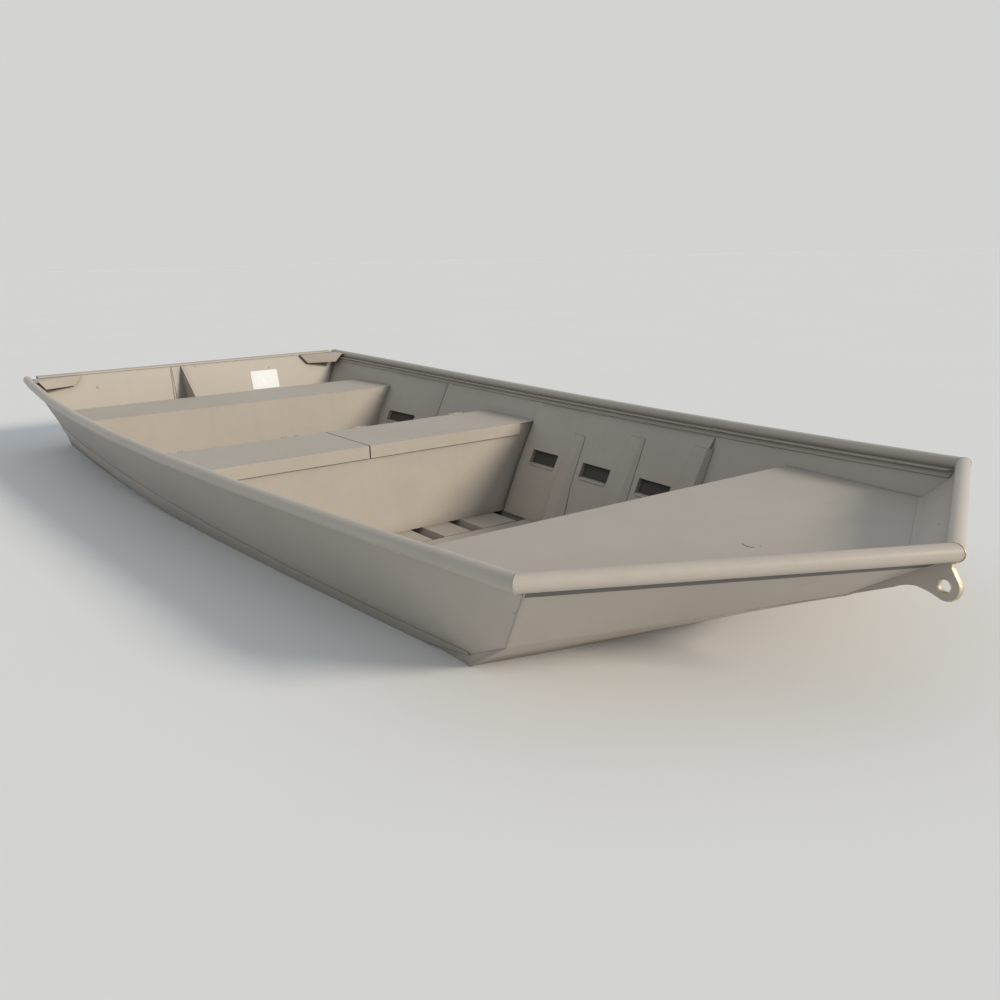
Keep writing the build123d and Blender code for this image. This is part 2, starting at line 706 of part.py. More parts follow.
def hat(middle, width, bevel):
    """Section of a sheet on the bottom plate, bent into a hat, open below."""
    half = width / 2
    crown = half - bevel
    section = [(-half, FLOOR_Z), (-half + PLATE, FLOOR_Z), (-crown + PLATE, DECKING_Z - PLATE),
               (crown - PLATE, DECKING_Z - PLATE), (half - PLATE, FLOOR_Z), (half, FLOOR_Z),
               (crown, DECKING_Z), (-crown, DECKING_Z)]
    return [(middle + along, z) for along, z in section]


def stringers(x0, x1):
    pieces = []
    inner_y = STRINGER_GAP / 2
    for width in STRINGER_WIDTHS:
        for sign in (1, -1):
            section = hat(sign * (inner_y + width / 2), width, STRINGER_BEVEL)
            pieces.append(across(section, x0, x1 - x0))
        inner_y += width + STRINGER_GAP
    return pieces


def floor_rib(x0):
    """Cross rib: a hat section from chine to chine."""
    reach = inner_half(x0, DECKING_Z)
    bar = lengthwise(hat(x0 + RIB_BASE / 2, RIB_BASE, FLOOR_RIB_BEVEL), -reach, 2 * reach)
    ends = [(clear_half(x0, RIB_BASE, z, 2 * PANEL_GAP), z) for z in (FLOOR_Z, DECKING_Z)]
    return bar & across(both_sides(ends), x0, RIB_BASE)


def strakes():
    pieces = []
    half = STRAKE_WIDTH / 2
    foot = half - STRAKE_BEVEL
    length = RAKE_START_X - STRAKE_FORE_GAP - STRAKE_AFT_X
    for y in sorted({sign * y for y in STRAKE_YS for sign in (1, -1)}):
        section = [(y - foot, 0), (y + foot, 0), (y + half, BOTTOM_Z), (y - half, BOTTOM_Z)]
        pieces.append(across(section, STRAKE_AFT_X, length))
    return pieces


# Liners and ribs on the sides

def liner_section(x, thick):
    """Section of the liner: an even second skin that thins out to its top edge."""
    top = sheer(x) - LINER_TOP_DROP
    line = knuckle_height(x)
    profile = [(DECKING_Z, LINER_SEAT), (line, LINER_SEAT), (top, LINER_SEAT),
               (top, LINER_SEAT + LINER_EDGE), (top - LINER_FADE, thick),
               (line, thick), (DECKING_Z, thick)]
    return [(x, inner_half(x, z) - off, z) for z, off in profile]


def pockets_cut(wall, x0, x1):
    """The liner between x0 and x1 with its pockets cut through to the hull's side."""
    for start, end, low, height in POCKETS:
        if x0 < start < x1:
            middle = (start + end) / 2
            z = low + height / 2
            pocket = Box(end - start, 6 * LINER_THICK, height)
            wall = wall - Pos(middle, inner_half(middle, z), z) * pocket
    return wall


def rear_liner():
    """From the rear bench to a thinned-out end short of the middle bench."""
    x0, x1 = REAR_X1 + LINER_BENCH_GAP, MID_X0 - LINER_SHORT
    places = close_stops(x0, x1 - LINER_END_FADE, LINER_FACET)
    sections = [liner_section(x, LINER_THICK) for x in places]
    sections.append(liner_section(x1, LINER_SEAT + LINER_EDGE))
    return pockets_cut(folded(sections), x0, x1)


def fore_liner():
    """From the lids to under the last rib's crown."""
    last_rib, _ = RIBS[-1]
    x0, x1 = MID_X1 + LINER_LID_GAP, last_rib + (RIB_BASE + RIB_CROWN) / 2
    places = close_stops(x0, x1, LINER_FACET)
    return pockets_cut(folded([liner_section(x, LINER_THICK) for x in places]), x0, x1)


def rib_section(x, lean, top, seat, depth, top_depth):
    """Closed section up the side from the floor at x, leaning fore or aft and fading to its top."""
    wall = []
    crest = []
    for z in (DECKING_Z, knuckle_height(x), top):
        share = (z - DECKING_Z) / (top - DECKING_Z)
        back_y = inner_half(x + share * lean, z) - seat
        wall.append((x + share * lean, back_y, z))
        crest.append((x + share * lean, back_y - depth - share * (top_depth - depth), z))
    return wall + crest[::-1]


def side_rib(x0, top_drop):
    """Hat rib up the liner, bevelled fore and aft into it; the last one closes the liner's end."""
    bevel = (RIB_BASE - RIB_CROWN) / 2
    crown_fore = x0 + bevel + RIB_CROWN
    top = sheer(x0) - top_drop
    seat = LINER_THICK + RIB_SEAT
    fore = (x0 + RIB_BASE, -RIB_TAPER, top, seat, RIB_EDGE, RIB_EDGE)
    if x0 == RIBS[-1][0]:
        fore = (crown_fore + RIB_CLOSING_BEVEL, -RIB_TAPER / 2, top, RIB_SEAT, RIB_EDGE, RIB_EDGE)
    return folded([
        rib_section(x0, RIB_TAPER, top, seat, RIB_EDGE, RIB_EDGE),
        rib_section(x0 + bevel, 0, top, seat, RIB_DEPTH, RIB_TOP_DEPTH),
        rib_section(crown_fore, 0, top, seat, RIB_DEPTH, RIB_TOP_DEPTH),
        rib_section(*fore)])


# Benches

def bulkhead(x, top):
    """Cross panel from the floor up, shaped to the inside of the hull."""
    levels = (DECKING_Z, knuckle_height(x), top)
    return across(both_sides([(clear_half(x, PLATE, z, PANEL_GAP), z) for z in levels]), x, PLATE)


def shelf(x0, x1, top):
    """Level plate from side to side, shaped to the inside of the hull."""
    low = top - PLATE
    return slab(both_edges([(x, inner_half(x, low) - PANEL_GAP) for x in stops(x0, x1)]), low, PLATE)


def rear_bench():
    return {
        "rear_bench_top": shelf(REAR_X0, REAR_X1, REAR_Z),
        "rear_bench_front": bulkhead(REAR_X1 - PLATE, REAR_Z - PLATE),
        "rear_bench_back": bulkhead(REAR_X0, REAR_Z - PLATE),
    }


LID_UNDER = MID_Z - PLATE
BENCH_TOP = LID_UNDER - SEAT
MID_FRONT_X = MID_X1 - PLATE - LIP_STAND_OFF - PLATE
HINGE_X = MID_X0 - HINGE_BARREL_R
HINGE_Z = LID_UNDER + PLATE / 2


def mid_bench():
    """Front and back panels, each with a folded flange at its top that the lids rest on."""
    front = bulkhead(MID_FRONT_X, BENCH_TOP) + shelf(
        MID_FRONT_X - MID_BENCH_SHELF, MID_FRONT_X, BENCH_TOP)
    back = bulkhead(MID_X0, BENCH_TOP) + shelf(
        MID_X0 + PLATE, MID_X0 + PLATE + MID_BENCH_SHELF, BENCH_TOP)
    return {"mid_bench_front": front, "mid_bench_back": back}


def lid_ends():
    """(low y, high y) of each lid, named by side."""
    far = min(inner_half(x, LID_UNDER) for x in stops(MID_X0, MID_X1)) - LID_SIDE_GAP
    return {"port": (LID_SPLIT_Y + LID_GAP / 2, far), "starboard": (-far, LID_SPLIT_Y - LID_GAP / 2)}


def hinge_places(y0, y1):
    return [y0 + HINGE_INSET, y1 - HINGE_INSET]


def lid(y0, y1):
    """Flat lid with a folded front lip; the lip stops short of the flared side."""
    aft = MID_X0 + 2 * HINGE_PLAY
    top = slab([(aft, y0), (MID_X1, y0), (MID_X1, y1), (aft, y1)], LID_UNDER, PLATE)
    low = MID_Z - LID_LIP
    lip_far = inner_half(MID_X1, low) - LIP_SIDE_GAP
    lip_y0, lip_y1 = max(y0, -lip_far), min(y1, lip_far)
    lip = across([(lip_y0, low), (lip_y1, low), (lip_y1, LID_UNDER), (lip_y0, LID_UNDER)],
                 MID_X1 - PLATE, PLATE)
    return joined([top, lip] + [lid_knuckle(y) for y in hinge_places(y0, y1)])


def hinge_plane(y0):
    return Plane(origin=(HINGE_X, y0, HINGE_Z), x_dir=(1, 0, 0), z_dir=(0, 1, 0))


def flat_sided(y0, y1, radius):
    """Bar on the hinge axis, in flats."""
    return extrude(hinge_plane(y0) * RegularPolygon(radius, HINGE_FLATS), amount=y1 - y0)


def block(x0, x1, y0, y1, z0, z1):
    return Pos((x0 + x1) / 2, (y0 + y1) / 2, (z0 + z1) / 2) * Box(x1 - x0, y1 - y0, z1 - z0)


def lid_knuckle(y):
    """Middle knuckle of a hinge, on the lid's edge."""
    y0, y1 = y - HINGE_KNUCKLE / 2, y + HINGE_KNUCKLE / 2
    web = block(HINGE_X, MID_X0 + HINGE_LAP, y0, y1, HINGE_Z - HINGE_LEAF / 2,
                HINGE_Z + HINGE_LEAF / 2)
    return flat_sided(y0, y1, HINGE_BARREL_R) + web - flat_sided(y0, y1, HINGE_BORE_R)


def bench_hinge(y):
    """Leaf, two outer knuckles and pin of a hinge, on the bench's back panel."""
    inner = HINGE_KNUCKLE / 2 + HINGE_PLAY
    outer = inner + HINGE_KNUCKLE
    leaf_x = MID_X0 - HINGE_LEAF
    leaf_top = HINGE_Z - HINGE_BARREL_R - HINGE_PLAY
    pieces = [block(leaf_x, MID_X0, y - outer, y + outer, leaf_top - HINGE_LEAF_DROP, leaf_top),
              flat_sided(y - outer, y + outer, HINGE_PIN_R)]
    for y0, y1 in ((y - outer, y - inner), (y + inner, y + outer)):
        pieces.append(flat_sided(y0, y1, HINGE_BARREL_R))
        pieces.append(block(leaf_x, MID_X0, y0, y1, leaf_top - HINGE_ARM, HINGE_Z - 1))
    return joined(pieces)


# Fore deck

DECK_X0 = CORNER_X - DECK_RUN


def bow_inside(z):
    """Plan points (x, y) of the bow panels' inside at height z: at the corner and at the stem."""
    t = (z - BOW_FOOT.Z) / (CORNER_TOP.Z - BOW_FOOT.Z)
    corner = BOW_FOOT + (CORNER_TOP - BOW_FOOT) * t + CORNER_IN
    stem_x = STEM_FOOT.X + (z - STEM_FOOT.Z) / STEM_RAKE + STEM_IN.X - STEM_IN.Z / STEM_RAKE
    return (corner.X, corner.Y), (stem_x, 0)


def deck():
    """Deck plate cut to the bow, bent up at the corners to its nose, with a lip along its aft edge."""
    under = DECK_Z - PLATE
    (corner_x, corner_y), _ = bow_inside(under)
    fold_x, fold_y = corner_x - DECK_EDGE_GAP, corner_y - 2 * DECK_EDGE_GAP
    rows = [(x, inner_half(x, under) - 3 * PANEL_GAP) for x in stops(DECK_X0, SPRAY_END_X)]
    level = slab(both_edges(rows + [(fold_x, fold_y)]), under, PLATE)
    _, (stem_x, _) = bow_inside(under + DECK_NOSE_RISE)
    bend = [(fold_x, fold_y, under), (fold_x, -fold_y, under),
            (stem_x - 3 * DECK_EDGE_GAP, 0, under + DECK_NOSE_RISE)]
    nose = extrude(face(bend), amount=PLATE, dir=(0, 0, 1))
    low = under - DECK_LIP
    lip_half = clear_half(DECK_X0, PLATE, low, 3 * PANEL_GAP)
    lip = across(both_sides([(lip_half, low), (lip_half, under)]), DECK_X0, PLATE)
    return joined([level, nose, lip])


def deck_riser():
    """Bulkhead under the deck, standing on the rising bow bottom."""
    x = DECK_X0 + PLATE + RISER_SET_BACK
    (chine_y, _), (_, knuckle_z), _ = inner_section(x)
    lift = 1.5 * PLATE + RISER_GAP
    half = []
    for share in (0, 0.5, 1):
        half.append((share * (chine_y - 2 * PLATE), forefoot_height(x + PLATE, share) + lift))
    for z in (knuckle_z, DECK_Z - PLATE):
        half.append((clear_half(x, PLATE, z, RISER_GAP), z))
    return across(half + [(-y, z) for y, z in reversed(half[1:])], x, PLATE)


# Bow eye

def upright(outline, thick):
    """Plate centred on the centreline from an outline in (x, z)."""
    plane = Plane(origin=(0, thick / 2, 0), x_dir=(1, 0, 0), z_dir=(0, -1, 0))
    return extrude(plane * outline, amount=thick)


def stem_plate(rails):
    """Plate under the nose along the stem, hollowed below, that swells into the lug."""
    eye_x, eye_z = NOSE.X - EYE_BACK, NOSE.Z - EYE_DROP
    top = NOSE.Z - TUBE_R + PLATE

    def off(across_share, up_share):
        return eye_x + across_share * EYE_R, eye_z + up_share * EYE_R

    def on_round(angle):
        return off(math.cos(math.radians(angle)), math.sin(math.radians(angle)))

    start = (STEM_FOOT.X + STEM_PLATE_START, STEM_FOOT.Z + STEM_PLATE_START * STEM_RAKE)
    turn = (STEM_FOOT.X + HOLLOW_RUN, STEM_FOOT.Z + HOLLOW_RUN * STEM_RAKE - HOLLOW_DEPTH)
    crest = off(-2.14, -0.49)
    lug_low, lug_up = on_round(243), on_round(NECK_TURN)
    neck = [(eye_x + NECK_X, eye_z + NECK_RISE), (eye_x + NECK_X, top)]
    back = [(STEM_TOP.X + FIT, top), (STEM_TOP.X + FIT, STEM_TOP.Z)]
    outline = make_face([
        Line(start, turn),
        ThreePointArc(turn, off(-2.93, -0.65), crest),
        ThreePointArc(crest, off(-1.31, -0.62), lug_low),
        ThreePointArc(lug_low, on_round(-40), lug_up),
        Polyline(lug_up, *neck, *back, start)])
    hole = Pos(eye_x - EYE_HOLE_BACK, eye_z) * Circle(EYE_HOLE_R)
    plate = upright(outline, EYE_PLATE) - upright(hole, EYE_PLATE)
    return max((plate - rails).solids(), key=lambda solid: solid.volume)


def build():
    nodes = {}
    paired = {
        "lower_side": lower_side(), "side_panel": side_panel(), "bow_panel": bow_panel(),
        "spray_rail": spray_rail(), "side_rail": side_rail(), "bow_rail": bow_rail(),
        "aft_gusset": aft_gusset(),
        "side_ribs": Compound([side_rib(*row) for row in RIBS]),
        "side_liner": Compound([rear_liner(), fore_liner()]),
    }
    for name, shape in paired.items():
        nodes[name + "_port"] = shape
        nodes[name + "_starboard"] = mirror(shape, about=Plane.XZ)
    half = forefoot_half()
    nodes["forefoot_plate"] = half + mirror(half, about=Plane.XZ)
    nodes["bottom_plate"] = bottom_plate()
    nodes["bottom_strakes"] = Compound(strakes())
    nodes["transom_plate"] = transom_plate()
    nodes["transom_core"] = transom_core()
    nodes["transom_cap"] = transom_cap()
    nodes["transom_knee"] = knee()
    nodes["motor_pad"] = motor_pad()
    nodes["drain_plug"] = drain_plug()
    nodes["floor_ribs"] = Compound([floor_rib(x) for x in floor_rib_starts()])
    for name, (a, b) in zip(("aft", "mid", "fore", "bow"), stringer_runs()):
        nodes["floor_stringers_" + name] = Compound(stringers(a, b))
    nodes.update(rear_bench())
    nodes.update(mid_bench())
    hinges = []
    for side, (y0, y1) in lid_ends().items():
        nodes["mid_lid_" + side] = lid(y0, y1)
        hinges += [bench_hinge(y) for y in hinge_places(y0, y1)]
    nodes["bench_hinges"] = Compound(hinges)
    nodes["fore_deck"] = deck()
    nodes["fore_deck_riser"] = deck_riser()
    nodes["stem_plate"] = stem_plate(nodes["bow_rail_port"] + nodes["bow_rail_starboard"])
    return nodes


# The finished boat is centred between the outside of the transom's cap and the tip of the rails
AFT_END = -TRANSOM_SKIN - CAP_THICK
FORE_END = NOSE.X + TUBE_R / BOW_OUT.X
MIDDLE_X = (AFT_END + FORE_END) / 2

os.makedirs("parts", exist_ok=True)
for node, shape in build().items():
    export_step(Pos(-MIDDLE_X, 0, 0) * shape, f"parts/{node}.step")
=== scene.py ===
import math

import bmesh
import bpy
from mathutils import Matrix, Vector
from mathutils.bvhtree import BVHTree


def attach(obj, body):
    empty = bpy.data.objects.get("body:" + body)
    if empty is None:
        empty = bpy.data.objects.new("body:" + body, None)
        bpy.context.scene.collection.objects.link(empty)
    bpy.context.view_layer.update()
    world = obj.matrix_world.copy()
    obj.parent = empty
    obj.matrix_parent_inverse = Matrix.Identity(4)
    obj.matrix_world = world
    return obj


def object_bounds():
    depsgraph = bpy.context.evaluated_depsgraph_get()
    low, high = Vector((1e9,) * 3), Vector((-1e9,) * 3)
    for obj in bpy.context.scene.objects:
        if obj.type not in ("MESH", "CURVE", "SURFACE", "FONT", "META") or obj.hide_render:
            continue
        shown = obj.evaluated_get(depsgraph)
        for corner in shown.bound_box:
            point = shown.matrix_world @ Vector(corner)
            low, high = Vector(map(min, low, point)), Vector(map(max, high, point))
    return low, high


# Jon boat, afloat. Metres, bow along +X, port side along +Y, heights above the strakes' undersides.
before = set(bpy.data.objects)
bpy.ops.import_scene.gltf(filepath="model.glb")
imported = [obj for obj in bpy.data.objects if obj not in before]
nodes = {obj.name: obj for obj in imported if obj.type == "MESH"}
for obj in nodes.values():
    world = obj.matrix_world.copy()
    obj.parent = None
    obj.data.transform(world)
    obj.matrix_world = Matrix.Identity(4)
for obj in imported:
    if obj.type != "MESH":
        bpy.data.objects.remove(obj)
cad_box = [list(corner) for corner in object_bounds()]

WATERLINE = 0.245
scene = bpy.context.scene


# Camera, where the photograph was taken from

CAMERA_AT = Vector((3.0827, -1.7362, 1.1644))
YAW, PITCH, ROLL = (math.radians(angle) for angle in (35.362, 14.645, -1.418))
LENS, SENSOR_WIDTH = 35.46, 36      # millimetres


def make_camera():
    ahead = Vector((-math.cos(YAW), math.sin(YAW), 0))
    look = ahead * math.cos(PITCH) - Vector((0, 0, math.sin(PITCH)))
    right = ahead.cross(Vector((0, 0, 1)))
    up = right.cross(look)
    tilted_right = right * math.cos(ROLL) + up * math.sin(ROLL)
    tilted_up = up * math.cos(ROLL) - right * math.sin(ROLL)
    data = bpy.data.cameras.new("camera")
    data.lens = LENS
    data.sensor_width = SENSOR_WIDTH
    camera = bpy.data.objects.new("camera", data)
    camera.matrix_world = Matrix.Translation(CAMERA_AT) @ Matrix(
        (tilted_right, tilted_up, -look)).transposed().to_4x4()
    scene.collection.objects.link(camera)
    scene.camera = camera


make_camera()


# Shader helpers

class Shader:
    """Short calls for building a node tree."""

    def __init__(self, tree):
        self.tree = tree
        self.tree.nodes.clear()

    def node(self, kind, inputs=None, **settings):
        made = self.tree.nodes.new(kind)
        for name, value in settings.items():
            setattr(made, name, value)
        for name, value in (inputs or {}).items():
            socket = made.inputs[name]
            if isinstance(value, bpy.types.NodeSocket):
                self.tree.links.new(value, socket)
            else:
                socket.default_value = value
        return made

    def math(self, operation, a, b=0.0, clamp=False):
        made = self.node("ShaderNodeMath", {0: a, 1: b}, operation=operation, use_clamp=clamp)
        return made.outputs[0]

    def mix(self, share, a, b):
        """Blend of two colours; 6, 7 and output 2 are the node's colour sockets."""
        made = self.node("ShaderNodeMix", {0: share, 6: a, 7: b}, data_type="RGBA")
        return made.outputs[2]

    def ramp(self, value, low, high, from_low=0.0, from_high=1.0):
        """Value moved from one range to another, and held within it."""
        made = self.node("ShaderNodeMapRange", {
            "Value": value, "From Min": from_low, "From Max": from_high,
            "To Min": low, "To Max": high})
        return made.outputs["Result"]

    def noise(self, where, scale, detail=3.0, roughness=0.55):
        made = self.node("ShaderNodeTexNoise", {
            "Vector": where, "Scale": scale, "Detail": detail, "Roughness": roughness})
        return made.outputs["Fac"]

    def stretched(self, where, scale):
        made = self.node("ShaderNodeMapping", {"Vector": where, "Scale": scale})
        return made.outputs["Vector"]


def new_material(name):
    material = bpy.data.materials.new(name)
    material.use_nodes = True
    return material, Shader(material.node_tree)


def finish_material(shader, inputs, normal=None):
    """Surface from inputs of the main shader."""
    if normal is not None:
        inputs["Normal"] = normal
    surface = shader.node("ShaderNodeBsdfPrincipled", inputs)
    shader.node("ShaderNodeOutputMaterial", {"Surface": surface.outputs["BSDF"]})


def shade(colour, factor):
    return tuple(min(1.0, part * factor) for part in colour[:3]) + (1.0,)


# Materials

PAINT = (0.445, 0.400, 0.348, 1)
BARE = (0.60, 0.58, 0.55, 1)
WATER_STAIN = (0.13, 0.125, 0.085, 1)
STAIN_BELOW, STAIN_ABOVE = 0.01, 0.07       # reach of the stain from the waterline


def paint(name, colour, edge_wear=0.35, corner_grime_and_shade=0.35, scuffs=0.2, stain=0.0, rough=0.42):
    """Satin paint on sheet metal: uneven tone, orange peel, worn edges, grime and painted corner
    shade.
    """
    material, s = new_material(name)
    where = s.node("ShaderNodeTexCoord").outputs["Object"]
    broad = s.noise(where, 2.3, 2)
    mottle = s.noise(where, 19, 4, 0.65)
    tone = s.math("ADD", s.ramp(broad, -0.5, 0.5), s.ramp(mottle, -0.3, 0.3))
    tone = s.ramp(tone, 0.0, 1.0, -0.35, 0.35)
    base = s.mix(tone, shade(colour, 0.93), shade(colour, 1.06))

    # Run-off streaks, long up and down and narrow along the hull
    streaks = s.noise(s.stretched(where, (21, 21, 1.6)), 1.0, 3, 0.6)
    streaks = s.ramp(streaks, 0.0, 1.0, 0.56, 0.80)
    base = s.mix(s.math("MULTIPLY", streaks, 0.16), base, shade(colour, 0.74))

    # Fine scratches along the boat, in patches
    scratch = s.noise(s.stretched(where, (6, 160, 160)), 1.0, 2, 0.7)
    scratch = s.math("MULTIPLY", s.ramp(scratch, 0.0, 1.0, 0.68, 0.75),
                     s.ramp(broad, 0.0, 1.0, 0.45, 0.6))
    base = s.mix(s.math("MULTIPLY", scratch, scuffs), base, shade(colour, 1.35))

    # Grime and painted shade where surfaces meet: ambient occlusion darkens corners and creases
    open_air = s.node("ShaderNodeAmbientOcclusion", {"Distance": 0.05}, samples=2).outputs["AO"]
    grime_and_shade = s.math("MULTIPLY", s.ramp(open_air, 1.0, 0.0, 0.35, 0.95), s.ramp(mottle, 0.5, 1.3))
    base = s.mix(s.math("MULTIPLY", grime_and_shade, corner_grime_and_shade, True), base, shade(colour, 0.36))

    # Weathering near the waterline, on the height alone
    if stain:
        height = s.node("ShaderNodeSeparateXYZ", {"Vector": where}).outputs["Z"]
        wavering = s.math("ADD", height, s.ramp(mottle, -0.02, 0.02))
        near = s.ramp(wavering, 1.0, 0.0, WATERLINE - STAIN_BELOW, WATERLINE + STAIN_ABOVE)
        base = s.mix(s.math("MULTIPLY", near, stain), base, WATER_STAIN)

    # Bare metal where an edge is rubbed
    rounded = s.node("ShaderNodeBevel", {"Radius": 0.003}, samples=2).outputs["Normal"]
    flat = s.node("ShaderNodeNewGeometry").outputs["Normal"]
    turned = s.node("ShaderNodeVectorMath", {0: rounded, 1: flat}, operation="DOT_PRODUCT")
    edge = s.ramp(turned.outputs["Value"], 1.0, 0.0, 0.90, 0.995)
    worn = s.math("MULTIPLY", edge, s.ramp(mottle, 0.0, edge_wear, 0.50, 0.66), True)
    base = s.mix(worn, base, BARE)

    # Roughness, slow waves in the sheet, and orange peel that ends where the paint is gone
    roughness = s.math("ADD", s.ramp(mottle, rough - 0.06, rough + 0.10),
                       s.math("MULTIPLY", grime_and_shade, 0.2), True)
    waves = s.node("ShaderNodeBump", {
        "Height": broad, "Distance": 0.005, "Strength": 0.35, "Normal": rounded})
    peel = s.math("ADD", s.math("MULTIPLY", mottle, 0.5), s.noise(where, 240, 1))
    peel = s.math("SUBTRACT", peel, s.math("ADD", scratch, worn))
    surface = s.node("ShaderNodeBump", {
        "Height": peel, "Distance": 0.0004, "Strength": 0.5, "Normal": waves.outputs["Normal"]})
    finish_material(s, {
        "Base Color": base, "Roughness": roughness, "Metallic": s.math("MULTIPLY", worn, 0.7),
        "Specular IOR Level": 0.4}, surface.outputs["Normal"])
    return material


def metal(name, colour, rough, tarnish, tint=(0.33, 0.25, 0.15, 1)):
    """Bare metal with fine brushing and patches of tarnish."""
    material, s = new_material(name)
    where = s.node("ShaderNodeTexCoord").outputs["Object"]
    brushing = s.noise(s.stretched(where, (40, 900, 900)), 1.0, 2)
    patches = s.ramp(s.noise(where, 55, 4, 0.7), 0.0, 1.0, 0.45, 0.75)
    base = s.mix(s.ramp(brushing, 0.0, 0.5), shade(colour, 1.1), shade(colour, 0.8))
    base = s.mix(s.math("MULTIPLY", patches, tarnish), base, tint)
    bump = s.node("ShaderNodeBump", {
        "Height": s.math("ADD", brushing, s.noise(where, 300, 2)),
        "Distance": 0.0002, "Strength": 0.5})
    roughness = s.math("ADD", s.math("MULTIPLY", patches, 0.25), rough, True)
    finish_material(s, {"Base Color": base, "Metallic": 1.0, "Roughness": roughness},
                    bump.outputs["Normal"])
    return material


def speckled(name, colour, dark, rough, scale):
    """Moulded or printed surface with a fine speckle."""
    material, s = new_material(name)
    where = s.node("ShaderNodeTexCoord").outputs["Object"]
    fleck = s.noise(where, scale, 4, 0.6)
    cloud = s.noise(where, 18, 2)
    base = s.mix(s.ramp(fleck, 0.0, 1.0, 0.42, 0.62), dark, colour)
    base = s.mix(s.ramp(cloud, 0.0, 0.25), base, shade(colour, 0.9))
    bump = s.node("ShaderNodeBump", {"Height": fleck, "Distance": 0.0003, "Strength": 0.5})
    finish_material(s, {"Base Color": base, "Roughness": s.ramp(cloud, rough - 0.05, rough + 0.1)},
                    bump.outputs["Normal"])
    return material


HULL = paint("hull_paint", PAINT, stain=0.30, corner_grime_and_shade=0.30, scuffs=0.12)
INNER = paint("inner_paint", PAINT, edge_wear=0.25, corner_grime_and_shade=0.5, scuffs=0.3, rough=0.56)
RAIL = paint("rail_paint", shade(PAINT, 1.03), edge_wear=0.3, corner_grime_and_shade=0.45, scuffs=0.3, rough=0.36)
WELD = paint("weld_paint", shade(PAINT, 0.97), edge_wear=0.0, corner_grime_and_shade=0.35, scuffs=0.0, rough=0.38)
# Dark paint for real seams and scrapes, and for the painted shadow under the bow rails
DARK_SEAM_AND_SHADE = paint("dark_seam_and_painted_shade", shade(PAINT, 0.30), edge_wear=0.0, corner_grime_and_shade=0.3, scuffs=0.0, rough=0.6)
# Near-black paint for the pocket backs: painted shade inside the pockets
POCKET_SHADE = paint("pocket_painted_shade", shade(PAINT, 0.15), edge_wear=0.0, corner_grime_and_shade=0.3, scuffs=0.0, rough=0.8)
HINGE = paint("hinge_paint", shade(PAINT, 0.72), edge_wear=0.15, corner_grime_and_shade=0.5, scuffs=0.1, rough=0.55)
ALLOY = metal("bare_alloy", (0.61, 0.55, 0.46, 1), 0.51, tarnish=0.55, tint=(0.42, 0.30, 0.16, 1))
GOLDEN = metal("heat_tinted_weld", (0.55, 0.42, 0.25, 1), 0.42, tarnish=0.6,
               tint=(0.36, 0.22, 0.09, 1))
BRASS = metal("plug_brass", (0.62, 0.44, 0.16, 1), 0.30, tarnish=0.6)
FASTENER = metal("fastener", (0.40, 0.37, 0.33, 1), 0.42, tarnish=0.7)
RUBBER = speckled("motor_pad", (0.055, 0.055, 0.055, 1), (0.025, 0.025, 0.025, 1), 0.75, 220)
PLATE_WHITE = speckled("plate_white", (0.755, 0.765, 0.775, 1), (0.70, 0.71, 0.72, 1), 0.45, 90)

# Finish of each CAD node: by its name, else outside paint, rail paint or inside paint

FINISHES = {"drain_plug": BRASS, "bench_hinges": HINGE, "motor_pad": RUBBER}
OUTSIDE = ("bottom_plate", "bottom_strakes", "forefoot_plate", "lower_side", "side_panel",
           "bow_panel", "spray_rail", "transom_plate", "stem_plate")


# Shading of CAD nodes and pieces: smooth along curves, sharp at folds

MERGE_WITHIN = 0.00001
FOLD_ANGLE = math.radians(24)


def shading_by_angle():
    group = bpy.data.node_groups.new("shading_by_angle", "GeometryNodeTree")
    for way in ("INPUT", "OUTPUT"):
        group.interface.new_socket("Geometry", in_out=way, socket_type="NodeSocketGeometry")
    make = group.nodes.new
    link = group.links.new
    source = make("NodeGroupInput")
    target = make("NodeGroupOutput")
    merge = make("GeometryNodeMergeByDistance")
    merge.inputs["Distance"].default_value = MERGE_WITHIN
    plain = make("GeometryNodeRemoveAttribute")
    plain.inputs["Name"].default_value = "custom_normal"
    smooth = make("GeometryNodeSetShadeSmooth")
    angle = make("GeometryNodeInputMeshEdgeAngle")
    fold = make("FunctionNodeCompare")
    fold.data_type = "FLOAT"
    fold.operation = "GREATER_THAN"
    fold.inputs["B"].default_value = FOLD_ANGLE
    sharp = make("GeometryNodeSetShadeSmooth")
    sharp.domain = "EDGE"
    sharp.inputs["Shade Smooth"].default_value = False
    link(source.outputs[0], merge.inputs["Geometry"])
    link(merge.outputs["Geometry"], plain.inputs["Geometry"])
    link(plain.outputs["Geometry"], smooth.inputs["Geometry"])
    link(smooth.outputs["Geometry"], sharp.inputs["Geometry"])
    link(angle.outputs["Unsigned Angle"], fold.inputs["A"])
    link(fold.outputs["Result"], sharp.inputs["Selection"])
    link(sharp.outputs["Geometry"], target.inputs[0])
    return group


BY_ANGLE = shading_by_angle()

for name, node in nodes.items():
    finish = FINISHES.get(name)
    if finish is None:
        if name.startswith(OUTSIDE):
            finish = HULL
        else:
            finish = RAIL if "rail" in name else INNER
    node.data.materials.clear()
    node.data.materials.append(finish)
    modifier = node.modifiers.new("shading_by_angle", "NODES")
    modifier.node_group = BY_ANGLE


# Search trees over the CAD surfaces

def tree_of(*names):
    """Search tree over the named CAD nodes, at rest."""
    verts, faces = [], []
    for name in names:
        mesh = nodes[name].data
        start = len(verts)
        verts += [v.co.copy() for v in mesh.vertices]
        faces += [[start + i for i in p.vertices] for p in mesh.polygons]
    return BVHTree.FromPolygons(verts, faces)


def mirrored(points):
    return [Vector((p[0], -p[1], p[2])) for p in points]


# Building pieces from rings of points

RIPPLE = 0.14           # share of its radius by which a weld bead swells and narrows
END_TAPER = 0.45        # a bead's radius at its ends, as a share of the rest


